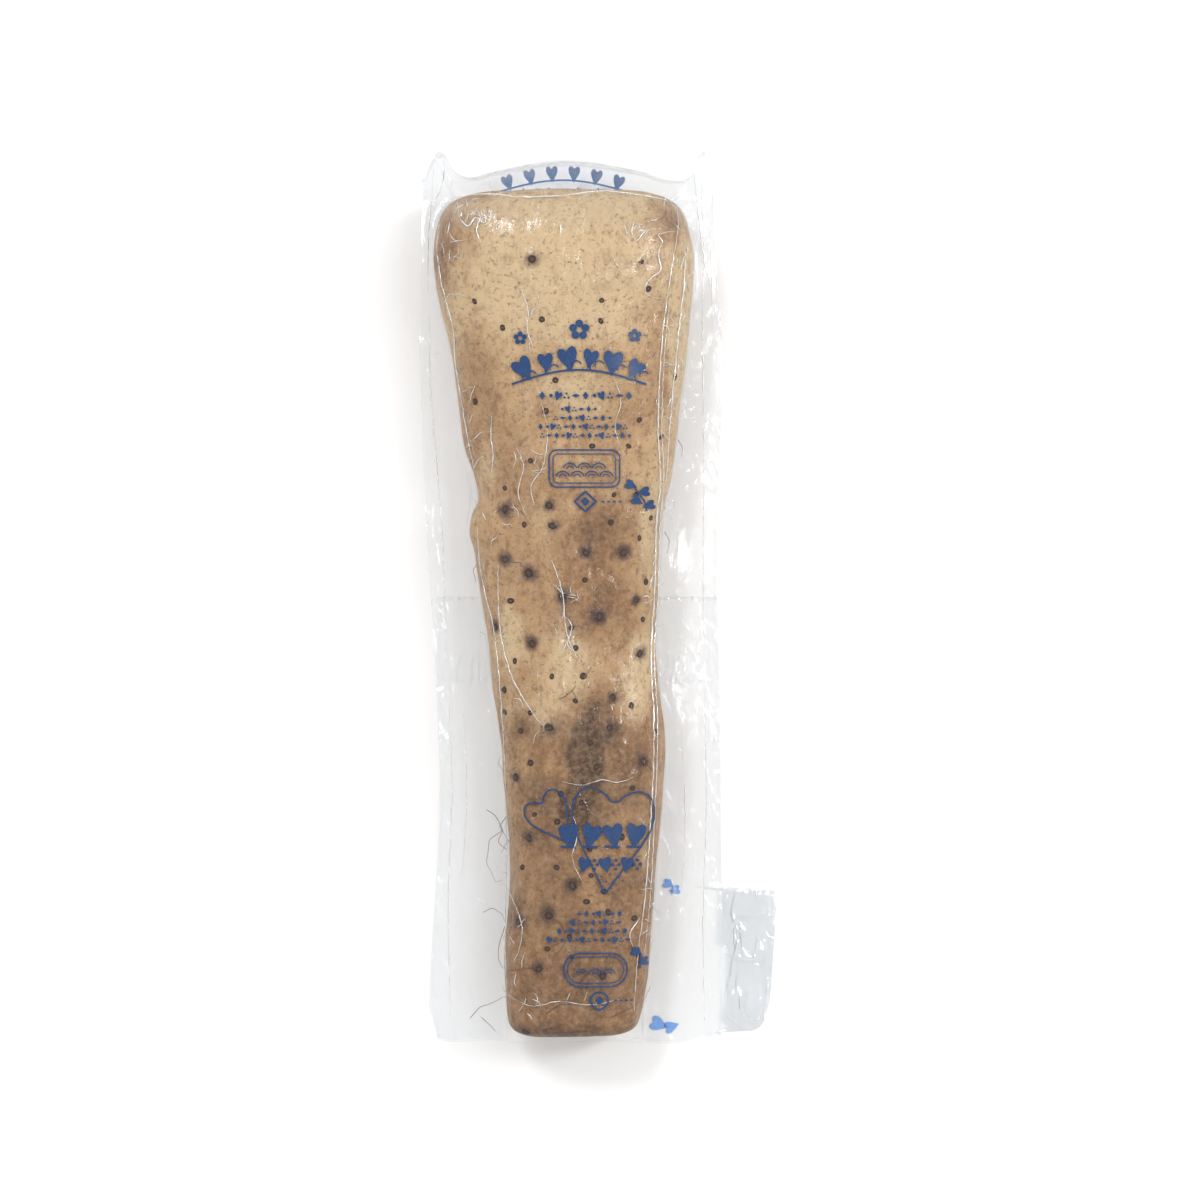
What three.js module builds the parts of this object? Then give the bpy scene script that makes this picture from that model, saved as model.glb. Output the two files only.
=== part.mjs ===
// A Japanese yam of the flat, paddle-shaped kind, drawn tight in a clear vacuum pouch.
// Units are millimetres, +Z is up, and the yam lies on its back with its broad end towards +Y.
//
// Three solids: the tuber, which grew in one piece, and the pouch's two webs of film. The webs
// follow the tuber, meet along its sides and run on as flat flaps. Below the narrow end the spare
// film is folded under, so the front web's tail is the lowest layer and the object rests on it.

import * as THREE from "three";

// ---- Driving dimensions ----------------------------------------------------------------------

const FILM = 0.1; // thickness of one web
const GAP = 0.3; // least clear space between layers that touch
const LAYER = FILM + GAP + 0.02; // from one layer's middle to the next
const FRONT_TAIL_Z = FILM / 2; // middle of the front web's tail, the lowest layer
const BACK_TAIL_Z = FRONT_TAIL_Z + LAYER;
const BELLY_Z = BACK_TAIL_Z + LAYER; // middle of the back web where it lies over the tails
const CLEARANCE = LAYER; // from the tuber's skin to the middle of the film

const NECK_END = -132.2; // the narrow end, where the vine was cut
const BROAD_END = 122.2; // the blunt growing end
const NECK_CAP = 8; // length over which each end rounds off
const BROAD_CAP = 14;
const END_POWER = 4; // above 2, an end is blunter than an ellipse
const SECTION_POWER = 2.6; // above 2, a cross-section is boxier than an ellipse
const UPPER_SHARE = 0.58; // share of the thickness above the widest line

const POUCH_TOP = 134.8; // tip of the pouch's right corner
const TAIL_CUT = 0; // where the tails end, folded under the yam
const BELLY_LANDS = 26; // beyond the tails, where the back web comes down to the ground
const FOLD_ROUND = 0.9; // radius of the fold along the pouch's lower edge

const FLAP_FALL = 0.35; // how far a side flap droops for each millimetre of its width,
const FLAP_FALLS_OVER = 9; // over no more than this much of it
const FOLD_PULL = 34; // how far up from the fold the flaps are drawn down to it

const RING_STEP = 8; // spacing of cross-sections along the yam
const AROUND = 28; // points round one cross-section
const FLAP_COLUMNS = 3; // points across one side flap

// ---- Outlines: each row is a place and the edges there ----------------------------------------

const YAM_OUTLINE = [
  { y: -132.2, left: -27.4, right: 11.4, thick: 27 },
  { y: -126.7, left: -27.6, right: 12.4, thick: 28 },
  { y: -119.6, left: -28.1, right: 13.8, thick: 28 },
  { y: -104.9, left: -28.4, right: 15.2, thick: 28.5 },
  { y: -94.0, left: -27.3, right: 16.2, thick: 29 },
  { y: -83.3, left: -26.9, right: 17.0, thick: 29.5 },
  { y: -68.6, left: -27.7, right: 18.2, thick: 30 },
  { y: -54.2, left: -28.8, right: 19.2, thick: 31 },
  { y: -42.8, left: -29.6, right: 19.7, thick: 31.5 },
  { y: -24.8, left: -32.4, right: 17.8, thick: 31 },
  { y: -13.7, left: -33.8, right: 17.0, thick: 30.5 },
  { y: 0.8, left: -35.7, right: 17.8, thick: 31 },
  { y: 14.0, left: -37.5, right: 18.4, thick: 32 },
  { y: 19.0, left: -38.9, right: 18.6, thick: 32.5 },
  { y: 24.8, left: -38.3, right: 19.0, thick: 33 },
  { y: 29.0, left: -36.6, right: 19.7, thick: 33 },
  { y: 35.0, left: -37.4, right: 21.2, thick: 33.5 },
  { y: 44.6, left: -40.6, right: 22.8, thick: 34.5 },
  { y: 57.2, left: -42.2, right: 24.5, thick: 35.5 },
  { y: 71.6, left: -44.4, right: 26.4, thick: 36.5 },
  { y: 86.0, left: -47.7, right: 27.2, thick: 37.5 },
  { y: 96.2, left: -49.5, right: 28.0, thick: 38 },
  { y: 104.3, left: -49.9, right: 27.8, thick: 37.5 },
  { y: 111.5, left: -48.6, right: 26.2, thick: 36.5 },
  { y: 122.2, left: -46.0, right: 23.5, thick: 34 },
];

const POUCH_SIDES = [
  { y: -133, left: -49.2, right: 36.8 },
  { y: -126, left: -51.5, right: 37 },
  { y: -64, left: -48, right: 36.5 },
  { y: -20, left: -49.5, right: 36 },
  { y: 20, left: -52, right: 35 },
  { y: 71, left: -54, right: 37 },
  { y: 107, left: -53.5, right: 34.5 },
  { y: 134.8, left: -52.4, right: 34.4 },
];

// How far up the film reaches, by its place across: an ear at each corner, an arch between.
const POUCH_TOP_EDGE = [
  { x: -52.4, y: 125.5 },
  { x: -50.0, y: 131.8 },
  { x: -47.2, y: 133.4 },
  { x: -43.6, y: 129.5 },
  { x: -38.3, y: 126.4 },
  { x: -31.8, y: 128.0 },
  { x: -11.0, y: 131.0 },
  { x: 12.0, y: 127.8 },
  { x: 21.0, y: 125.2 },
  { x: 27.6, y: 126.4 },
  { x: 30.0, y: 132.6 },
  { x: 34.4, y: POUCH_TOP },
];

// How far down the film reaches, where it folds under.
const POUCH_LOWER_EDGE = [
  { x: -51.6, y: -132.6 },
  { x: -46.0, y: -134.6 },
  { x: -33.0, y: -134.0 },
  { x: -24.0, y: -134.5 },
  { x: -14.0, y: -133.7 },
  { x: 4.0, y: -133.7 },
  { x: 14.0, y: -134.6 },
  { x: 24.5, y: -134.8 },
  { x: 29.0, y: -133.6 },
  { x: 36.8, y: -132.8 },
];

// The folded tail's sides. Low on the right a loose corner of it sticks out past the pouch.
const TAIL_SIDES = [
  { y: -131.4, left: -49.4, right: 46.2 },
  { y: -128.2, left: -50.2, right: 49.8 },
  { y: -122.0, left: -50.8, right: 51.6 },
  { y: -105.0, left: -50.6, right: 52.8 },
  { y: -88.6, left: -49.6, right: 54.0 },
  { y: -87.2, left: -49.6, right: 36.7 },
  { y: -55.0, left: -48.4, right: 36.2 },
  { y: -25.0, left: -49.0, right: 35.8 },
  { y: TAIL_CUT, left: -49.4, right: 35.4 },
];

// ---- Helpers ----------------------------------------------------------------------------------

// Value of `key` at `at`, on a smooth curve through rows sorted by `by`.
function follow(rows, by, key, at) {
  const last = rows.length - 1;
  const place = Math.min(Math.max(at, rows[0][by]), rows[last][by]);
  let i = 0;
  while (i < last - 1 && rows[i + 1][by] < place) i += 1;
  const slope = (k) => {
    const before = rows[Math.max(k - 1, 0)];
    const after = rows[Math.min(k + 1, last)];
    return (after[key] - before[key]) / (after[by] - before[by]);
  };
  const [a, b] = [rows[i], rows[i + 1]];
  const span = b[by] - a[by];
  const s = (place - a[by]) / span;
  const leave = s * (1 - s) * (1 - s) * span * slope(i);
  const arrive = s * s * (s - 1) * span * slope(i + 1);
  return mix(a[key], b[key], ease(s)) + leave + arrive;
}

function mix(a, b, share) {
  return a + (b - a) * share;
}

function clamp(value, low, high) {
  return Math.min(Math.max(value, low), high);
}

function ease(share) {
  return share * share * (3 - 2 * share);
}

// Height of a blunt, rounded end: 1 where it starts, 0 at `share` 1, its tip.
function rounded(share) {
  return Math.pow(1 - Math.pow(clamp(share, 0, 1), END_POWER), 1 / END_POWER);
}

function sectionCurve(value) {
  return Math.sign(value) * Math.pow(Math.abs(value), 2 / SECTION_POWER);
}

function geometryOf(points, triangles) {
  const geometry = new THREE.BufferGeometry();
  geometry.setAttribute("position", new THREE.Float32BufferAttribute(points.flat(), 3));
  geometry.setIndex(triangles.flat());
  geometry.computeVertexNormals();
  return geometry;
}

// A closed shell `FILM` thick around a grid of points, rows[i][j].
function shellOf(rows) {
  const [count, across] = [rows.length, rows[0].length];
  const facing = (i, j) => {
    const [a, b] = [rows[i][j], rows[i][j + 1]];
    const [c, d] = [rows[i + 1][j], rows[i + 1][j + 1]];
    const rising = new THREE.Vector3().subVectors(d, a);
    return rising.cross(new THREE.Vector3().subVectors(c, b)).normalize();
  };
  const sides = [[], []];
  for (let i = 0; i < count; i += 1) {
    for (let j = 0; j < across; j += 1) {
      const faces = [];
      for (const [p, q] of [[i - 1, j - 1], [i - 1, j], [i, j - 1], [i, j]]) {
        if (p >= 0 && q >= 0 && p < count - 1 && q < across - 1) faces.push(facing(p, q));
      }
      const normal = faces.reduce((sum, face) => sum.add(face), new THREE.Vector3()).normalize();
      const lean = faces.reduce((least, face) => Math.min(least, face.dot(normal)), 1);
      const half = FILM / 2 / Math.max(lean, 0.7);
      sides[0].push(rows[i][j].clone().addScaledVector(normal, half).toArray());
      sides[1].push(rows[i][j].clone().addScaledVector(normal, -half).toArray());
    }
  }
  const top = (i, j) => i * across + j;
  const under = (i, j) => (count + i) * across + j;
  const triangles = [];
  const quad = (a, b, c, d) => triangles.push([a, b, c], [a, c, d]);
  for (let i = 0; i < count - 1; i += 1) {
    for (let j = 0; j < across - 1; j += 1) {
      quad(top(i, j), top(i, j + 1), top(i + 1, j + 1), top(i + 1, j));
      quad(under(i, j), under(i + 1, j), under(i + 1, j + 1), under(i, j + 1));
    }
    const edge = across - 1;
    quad(top(i, 0), top(i + 1, 0), under(i + 1, 0), under(i, 0));
    quad(top(i, edge), under(i, edge), under(i + 1, edge), top(i + 1, edge));
  }
  for (let j = 0; j < across - 1; j += 1) {
    const end = count - 1;
    quad(top(0, j), under(0, j), under(0, j + 1), top(0, j + 1));
    quad(top(end, j), top(end, j + 1), under(end, j + 1), under(end, j));
  }
  return geometryOf(sides.flat(), triangles);
}

// ---- The yam's cross-sections -------------------------------------------------------------------

const BODY_START = NECK_END + NECK_CAP;
const BODY_END = BROAD_END - BROAD_CAP;

// Places of the whole cross-sections, between the two rounded ends.
const BODY_PLACES = (() => {
  const steps = Math.round((BODY_END - BODY_START) / RING_STEP);
  return Array.from({ length: steps + 1 }, (_, i) => mix(BODY_START, BODY_END, i / steps));
})();
const NECK_PLACES = [0.995, 0.95, 0.85, 0.65, 0.35].map((share) => BODY_START - share * NECK_CAP);
const BROAD_PLACES = [0.3, 0.55, 0.75, 0.88, 0.96].map((share) => BODY_END + share * BROAD_CAP);
const BROAD_TIP = BODY_END + 0.995 * BROAD_CAP;

// The yam at one place along it. `scale` shrinks the section where an end rounds off.
function sectionAt(y) {
  const left = follow(YAM_OUTLINE, "y", "left", y);
  const right = follow(YAM_OUTLINE, "y", "right", y);
  const thick = follow(YAM_OUTLINE, "y", "thick", y);
  const scale = rounded((BODY_START - y) / NECK_CAP) * rounded((y - BODY_END) / BROAD_CAP);
  const landed = ease(clamp((y - TAIL_CUT - 2) / (BELLY_LANDS - TAIL_CUT - 2), 0, 1));
  const base = mix(BELLY_Z, FILM / 2, landed) + CLEARANCE;
  return {
    middle: (left + right) / 2,
    half: ((right - left) / 2) * scale,
    widestZ: base + thick * (1 - UPPER_SHARE),
    above: thick * UPPER_SHARE * scale,
    below: thick * (1 - UPPER_SHARE) * scale,
  };
}

// ---- Yam ---------------------------------------------------------------------------------------

function yamGeometry() {
  const points = [];
  const triangles = [];
  const places = [...NECK_PLACES, ...BODY_PLACES, ...BROAD_PLACES, BROAD_TIP];
  for (const y of places) {
    const { middle, half, widestZ, above, below } = sectionAt(y);
    for (let k = 0; k < AROUND; k += 1) {
      const angle = (k / AROUND) * 2 * Math.PI;
      const rise = sectionCurve(Math.sin(angle));
      const height = rise > 0 ? above : below;
      points.push([middle + half * sectionCurve(Math.cos(angle)), y, widestZ + height * rise]);
    }
  }
  for (let i = 0; i < places.length - 1; i += 1) {
    for (let k = 0; k < AROUND; k += 1) {
      const next = (k + 1) % AROUND;
      const [a, b] = [i * AROUND + k, i * AROUND + next];
      const [c, d] = [a + AROUND, b + AROUND];
      triangles.push([a, c, b], [b, c, d]);
    }
  }
  for (const ring of [0, places.length - 1]) {
    const { middle, widestZ } = sectionAt(places[ring]);
    const pole = points.push([middle, places[ring], widestZ]) - 1;
    for (let k = 0; k < AROUND; k += 1) {
      const [a, b] = [ring * AROUND + k, ring * AROUND + ((k + 1) % AROUND)];
      triangles.push(ring === 0 ? [pole, a, b] : [pole, b, a]);
    }
  }
  return geometryOf(points, triangles);
}

// ---- Pouch -------------------------------------------------------------------------------------

const FRONT = 1;
const BACK = -1;
const HALF_TURN = AROUND / 2;

// One row of film at `y`: the left flap, the web over or under the yam, then the right flap.
function filmRow(y, side) {
  const { middle, half, widestZ, above, below } = sectionAt(y);
  const [meetLeft, meetRight] = [middle - half - CLEARANCE, middle + half + CLEARANCE];
  const drawn = ease(clamp((NECK_END + FOLD_PULL - y) / FOLD_PULL, 0, 1));
  const flapOf = (edgeKey, meet) => {
    const edge = follow(POUCH_SIDES, "y", edgeKey, y);
    const width = Math.abs(meet - edge);
    const low = FRONT_TAIL_Z + 2 * FOLD_ROUND;
    const edgeZ = mix(widestZ - FLAP_FALL * Math.min(width, FLAP_FALLS_OVER), low, drawn);
    const steep = (1.5 * (widestZ - edgeZ)) / width;
    const drop = side === FRONT ? 0 : LAYER * Math.sqrt(1 + steep * steep);
    const at = (share) =>
      new THREE.Vector3(mix(edge, meet, share), y, mix(edgeZ, widestZ, ease(share)) - drop);
    return { at, drop };
  };
  const left = flapOf("left", meetLeft);
  const right = flapOf("right", meetRight);
  const row = [];
  for (let j = 0; j < FLAP_COLUMNS; j += 1) row.push(left.at(j / FLAP_COLUMNS));
  for (let k = 0; k <= HALF_TURN; k += 1) {
    const angle = Math.PI * (1 - k / HALF_TURN);
    const drop = k < HALF_TURN / 2 ? left.drop : right.drop;
    const rise = Math.abs(sectionCurve(Math.sin(angle)));
    const reach = (side === FRONT ? above : below) + CLEARANCE - drop;
    const x = middle + (half + CLEARANCE) * sectionCurve(Math.cos(angle));
    row.push(new THREE.Vector3(x, y, widestZ - drop + side * rise * reach));
  }
  for (let j = FLAP_COLUMNS - 1; j >= 0; j -= 1) row.push(right.at(j / FLAP_COLUMNS));
  return row;
}

// Where across a row's points lie once its flaps end at the edges `left` and `right`.
function fannedTo(row, left, right) {
  const last = row.length - 1;
  return row.map((point, j) => {
    if (j < FLAP_COLUMNS) return mix(left, row[FLAP_COLUMNS].x, j / FLAP_COLUMNS);
    if (last - j < FLAP_COLUMNS) return mix(right, row[last - FLAP_COLUMNS].x, (last - j) / FLAP_COLUMNS);
    return point.x;
  });
}

// The rows that fold the film under at the narrow end, from its lowest row up to the yam.
function foldRows(side) {
  const inset = side === FRONT ? 0 : 1.5 * LAYER;
  const tailZ = side === FRONT ? FRONT_TAIL_Z : BACK_TAIL_Z;
  const start = filmRow(BODY_START, side);
  const across = fannedTo(start, POUCH_SIDES[0].left, POUCH_SIDES[0].right);
  const columns = start.map((point, j) => {
    const x = across[j];
    const lip = follow(POUCH_LOWER_EDGE, "x", "y", x) + inset;
    const turnZ = Math.min(FRONT_TAIL_Z + FOLD_ROUND, (point.z + tailZ) / 2);
    const up = point.z - turnZ;
    const reach = clamp(up, 0.2, BODY_START - 0.4 - lip);
    return { x, lip, turnZ, up, down: turnZ - tailZ, reach };
  });
  const under = [1, 0.72, 0.36].map((share) =>
    columns.map(({ x, lip, turnZ, down }) => {
      const [sine, cosine] = [Math.sin((share * Math.PI) / 2), Math.cos((share * Math.PI) / 2)];
      return new THREE.Vector3(x, lip + down * (1 - cosine), turnZ - down * sine);
    }),
  );
  const over = [1, 0.97, 0.9, 0.78, 0.6, 0.35, 0].map((share) =>
    columns.map(({ x, lip, turnZ, up, reach }) => {
      return new THREE.Vector3(x, lip + reach * (1 - share), turnZ + up * rounded(share));
    }),
  );
  return [...under, ...over];
}

// The tail, lying flat under the yam, from its cut end down to the fold.
function tailRows(side) {
  const z = side === FRONT ? FRONT_TAIL_Z : BACK_TAIL_Z;
  const fold = foldRows(side)[0];
  return [...TAIL_SIDES].reverse().map(({ y, left, right }) =>
    fannedTo(fold, left, right).map((x) => new THREE.Vector3(x, y, z)),
  );
}

// The film stays on the yam over the first part of the broad end, then closes on the top edge.
const CLINGS = BROAD_PLACES.slice(0, 3);

function clingingRow(y, side) {
  const along = (y - BODY_END) / BROAD_CAP;
  return filmRow(y, side).map((point) => point.setY(y + CLEARANCE * along));
}

function topRows(side) {
  const leaves = clingingRow(CLINGS.at(-1), side);
  const spread = filmRow(BODY_END, side);
  const level = sectionAt(BROAD_END).widestZ;
  const drop = side === FRONT ? 0 : LAYER;
  return [0.3, 0.6, 0.85, 1].map((share) =>
    leaves.map((point, j) => {
      const { x } = spread[j];
      const inBody = j >= FLAP_COLUMNS && j <= FLAP_COLUMNS + HALF_TURN;
      const seam = (inBody ? level - drop : point.z) - drop;
      const top = follow(POUCH_TOP_EDGE, "x", "y", x);
      const swell = 1 - share * share;
      return new THREE.Vector3(
        mix(point.x, x, share),
        mix(point.y, top, share),
        mix(seam, point.z, swell),
      );
    }),
  );
}

function webGeometry(side) {
  const body = BODY_PLACES.map((y) => filmRow(y, side));
  const clinging = CLINGS.map((y) => clingingRow(y, side));
  return shellOf([...tailRows(side), ...foldRows(side), ...body, ...clinging, ...topRows(side)]);
}

// ---- Assembly ----------------------------------------------------------------------------------

const yamSkin = new THREE.MeshStandardMaterial({ color: 0xc8a071, roughness: 0.75, metalness: 0 });
const clearFilm = new THREE.MeshStandardMaterial({
  color: 0xe6edea,
  roughness: 0.2,
  metalness: 0,
  transparent: true,
  opacity: 0.3,
});

function named(name, geometry, material) {
  const mesh = new THREE.Mesh(geometry, material);
  mesh.name = name;
  return mesh;
}

const vacuumPackedYam = new THREE.Group();
vacuumPackedYam.add(named("yam_tuber", yamGeometry(), yamSkin));
vacuumPackedYam.add(named("pouch_front_web", webGeometry(FRONT), clearFilm));
vacuumPackedYam.add(named("pouch_back_web", webGeometry(BACK), clearFilm));

const bounds = new THREE.Box3().setFromObject(vacuumPackedYam);
for (const mesh of vacuumPackedYam.children) {
  mesh.geometry.translate(
    -(bounds.min.x + bounds.max.x) / 2,
    -(bounds.min.y + bounds.max.y) / 2,
    -bounds.min.z,
  );
}

export default vacuumPackedYam;
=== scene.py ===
"""A Japanese yam in its clear vacuum pouch: the tuber, its root scars and rootlets, the pouch's
two webs of film and the blue print on them. Shapes are set out in millimetres."""

import math
import random

import bmesh
import bpy
from bpy.props import FloatProperty, FloatVectorProperty, IntProperty, PointerProperty
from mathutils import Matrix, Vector, noise
from mathutils.bvhtree import BVHTree


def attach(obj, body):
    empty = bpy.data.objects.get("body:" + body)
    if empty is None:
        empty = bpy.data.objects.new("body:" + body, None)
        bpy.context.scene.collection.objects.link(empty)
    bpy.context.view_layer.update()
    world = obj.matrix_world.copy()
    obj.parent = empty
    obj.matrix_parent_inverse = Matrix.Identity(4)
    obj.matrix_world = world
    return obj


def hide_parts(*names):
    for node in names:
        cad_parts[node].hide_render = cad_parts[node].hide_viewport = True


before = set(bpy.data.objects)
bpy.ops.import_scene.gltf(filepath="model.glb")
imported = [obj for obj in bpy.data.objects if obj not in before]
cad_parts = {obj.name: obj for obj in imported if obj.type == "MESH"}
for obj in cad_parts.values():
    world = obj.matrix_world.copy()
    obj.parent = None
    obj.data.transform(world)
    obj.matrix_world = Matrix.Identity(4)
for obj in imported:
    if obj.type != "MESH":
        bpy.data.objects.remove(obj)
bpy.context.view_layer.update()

bl_info = {
    "name": "Vacuum-packed yam",
    "version": (1, 0, 0),
    "blender": (4, 5, 0),
    "location": "3D View > Sidebar > Yam",
    "description": "Builds a vacuum-packed Japanese yam around its CAD frame",
    "category": "Add Mesh",
}

MM = 0.001

# ---- Sizes shared with the CAD frame, in millimetres ---------------------------------------------

FILM = 0.1
LAYER = 0.42
FRONT_TAIL_Z = FILM / 2
BACK_TAIL_Z = FRONT_TAIL_Z + LAYER
BELLY_Z = BACK_TAIL_Z + LAYER
CLEARANCE = LAYER
NECK_END, BROAD_END = -132.2, 122.2
NECK_CAP, BROAD_CAP = 8.0, 14.0
BODY_START, BODY_END = NECK_END + NECK_CAP, BROAD_END - BROAD_CAP
END_POWER, SECTION_POWER = 4.0, 2.6
UPPER_SHARE = 0.58
TAIL_CUT = 0.0
BELLY_LANDS = 26.0
FOLD_ROUND = 0.9
FLAP_FALL, FLAP_FALLS_OVER = 0.35, 9.0
FOLD_PULL = 34.0
FRONT, BACK = 1, -1

# y, left edge, right edge, thickness
YAM_OUTLINE = (
    (-132.2, -27.4, 11.4, 27), (-126.7, -27.6, 12.4, 28), (-119.6, -28.1, 13.8, 28),
    (-104.9, -28.4, 15.2, 28.5), (-94.0, -27.3, 16.2, 29), (-83.3, -26.9, 17.0, 29.5),
    (-68.6, -27.7, 18.2, 30), (-54.2, -28.8, 19.2, 31), (-42.8, -29.6, 19.7, 31.5),
    (-24.8, -32.4, 17.8, 31), (-13.7, -33.8, 17.0, 30.5), (0.8, -35.7, 17.8, 31),
    (14.0, -37.5, 18.4, 32), (19.0, -38.9, 18.6, 32.5), (24.8, -38.3, 19.0, 33),
    (29.0, -36.6, 19.7, 33), (35.0, -37.4, 21.2, 33.5), (44.6, -40.6, 22.8, 34.5),
    (57.2, -42.2, 24.5, 35.5), (71.6, -44.4, 26.4, 36.5), (86.0, -47.7, 27.2, 37.5),
    (96.2, -49.5, 28.0, 38), (104.3, -49.9, 27.8, 37.5), (111.5, -48.6, 26.2, 36.5),
    (122.2, -46.0, 23.5, 34),
)
# y, left edge, right edge
POUCH_SIDES = (
    (-133, -49.2, 36.8), (-126, -51.5, 37), (-64, -48, 36.5), (-20, -49.5, 36),
    (20, -52, 35), (71, -54, 37), (107, -53.5, 34.5), (134.8, -52.4, 34.4),
)
# x, how far up the film reaches there
POUCH_TOP_EDGE = (
    (-52.4, 125.5), (-50.0, 131.8), (-47.2, 133.4), (-43.6, 127.8), (-38.3, 125.9),
    (-31.8, 127.6), (-11.0, 131.0), (12.0, 127.8), (21.0, 125.0), (27.6, 126.4),
    (30.0, 133.0), (34.4, 134.7),
)
# x, how far down the film reaches there
POUCH_LOWER_EDGE = (
    (-51.6, -132.6), (-46.0, -134.6), (-33.0, -134.0), (-24.0, -134.5), (-14.0, -133.7),
    (4.0, -133.7), (14.0, -134.6), (24.5, -134.8), (29.0, -133.6), (36.8, -132.8),
)
# y, left edge, right edge of the folded tail
TAIL_SIDES = (
    (-131.4, -49.4, 46.2), (-130.2, -49.8, 48.6), (-128.2, -50.2, 49.8), (-122.0, -50.8, 51.6),
    (-105.0, -50.6, 52.8), (-89.0, -49.7, 53.8), (-87.6, -49.6, 36.9), (-55.0, -48.4, 36.2),
    (-25.0, -49.0, 35.8), (TAIL_CUT, -49.4, 35.4),
)

# The large root scars on the upper side: x, y and size, 1 being a plain small one.
LARGE_SCARS = (
    (-20, 100, 1.4), (-37, 58, 1.2), (-16, 55, 1.2), (-28, 26, 1.7), (-15, 27, 1.3), (-14, 21, 1.3),
    (-4, 13, 1.6), (7, 13, 1.5), (-28, 11, 1.6), (-21, 7, 1.7), (-11, 0, 1.5), (11, -1, 1.3),
    (0, -6, 1.6), (-31, -9, 1.4), (-20, -14, 1.4), (12, -17, 1.6), (4, -30, 1.3), (-15, -39, 1.7),
    (3, -39, 1.4), (13, -49, 1.5), (-25, -54, 1.6), (-21, -72, 1.6), (-8, -86, 1.6), (-15, -95, 1.8),
    (-24, -97, 1.5), (-18, -111, 1.4), (1, -113, 1.3), (-22, -130, 1.5),
)
# Small scars scattered on each side: how many, the least space between them, and their sizes.
SMALL_SCARS = {FRONT: (62, 6.0, 0.8, 1.2), BACK: (92, 7.7, 0.8, 1.6)}
SCARS_FROM, SCARS_TO = -128, 116
SCARS_CLOSEST_AT = -50   # the place along the neck where they stand closest together
SCAR_REACH = 0.93        # of the half width, past which none is placed

# Patches of colour on the upper side: x, y, half width, half height, strength.
PALE_PATCHES = (
    (-5, 98, 26, 22, 1.0), (-30, 92, 12, 20, 0.6), (-27, -12, 5, 14, 0.9), (12, -22, 5, 12, 0.9),
    (-9, -20, 9, 16, 0.8), (-33, 40, 4, 16, 0.5), (16, 20, 4, 34, 0.5), (-8, 60, 18, 10, 0.5),
    (-18, -36, 14, 5, 0.7), (-24, -70, 5, 22, 0.4), (13, -72, 4, 24, 0.5), (-20, -95, 6, 12, 0.4),
    (-12, 116, 30, 5, 0.8), (25.5, 74, 4.5, 40, 0.85), (20, 16, 2.5, 40, 0.5), (-44, 84, 4, 26, 0.4),
    (-6, 84, 12, 8, 0.5), (4, -34, 8, 4, 0.3), (-16, 20, 5, 6, 0.4), (-3, -90, 8, 8, 0.25),
)
STAIN_PATCHES = (
    (7, 99, 8, 3.4, 0.55), (-2, 17, 14, 11, 0.65), (0, -6, 12, 8, 0.7), (-5, -47, 6, 19, 1.0),
    (2, -45, 15, 10, 0.65), (-22, -44, 8, 9, 0.5), (-8, -118, 22, 12, 0.55), (-12, 38, 15, 6, 0.3),
    (-10, -62, 10, 8, 0.6), (10, -58, 7, 8, 0.5), (-2, -100, 12, 9, 0.35), (-14, 2, 9, 9, 0.35),
    (22, 108, 5, 9, 0.5), (-44, 100, 4, 12, 0.45), (-38, 64, 5, 14, 0.35), (-12, -86, 9, 12, 0.3),
    (8, 58, 10, 12, 0.3), (-20, -58, 6, 5, 0.5), (14, 64, 4, 16, 0.3), (-4, -52, 5, 16, 0.6),
    (-1, -34, 5, 6, 0.6), (4, -39, 15, 3.4, 0.6), (-22, -38, 8, 3.6, 0.6), (2, 22, 7, 9, 0.45),
    (1, 2, 6, 12, 0.5), (-16, 30, 7, 5, 0.4), (-28, 28, 6, 6, 0.35), (13, -48, 6, 5, 0.6),
    (-36, 114, 8, 5, 0.5), (-46, 104, 3, 12, 0.6), (20, 112, 7, 6, 0.5), (-12, -131, 16, 3, 0.7),
    (-24, -96, 5, 7, 0.45), (-18, -72, 6, 6, 0.4), (8, -86, 7, 7, 0.35), (-32, 56, 5, 12, 0.4),
)

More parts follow.
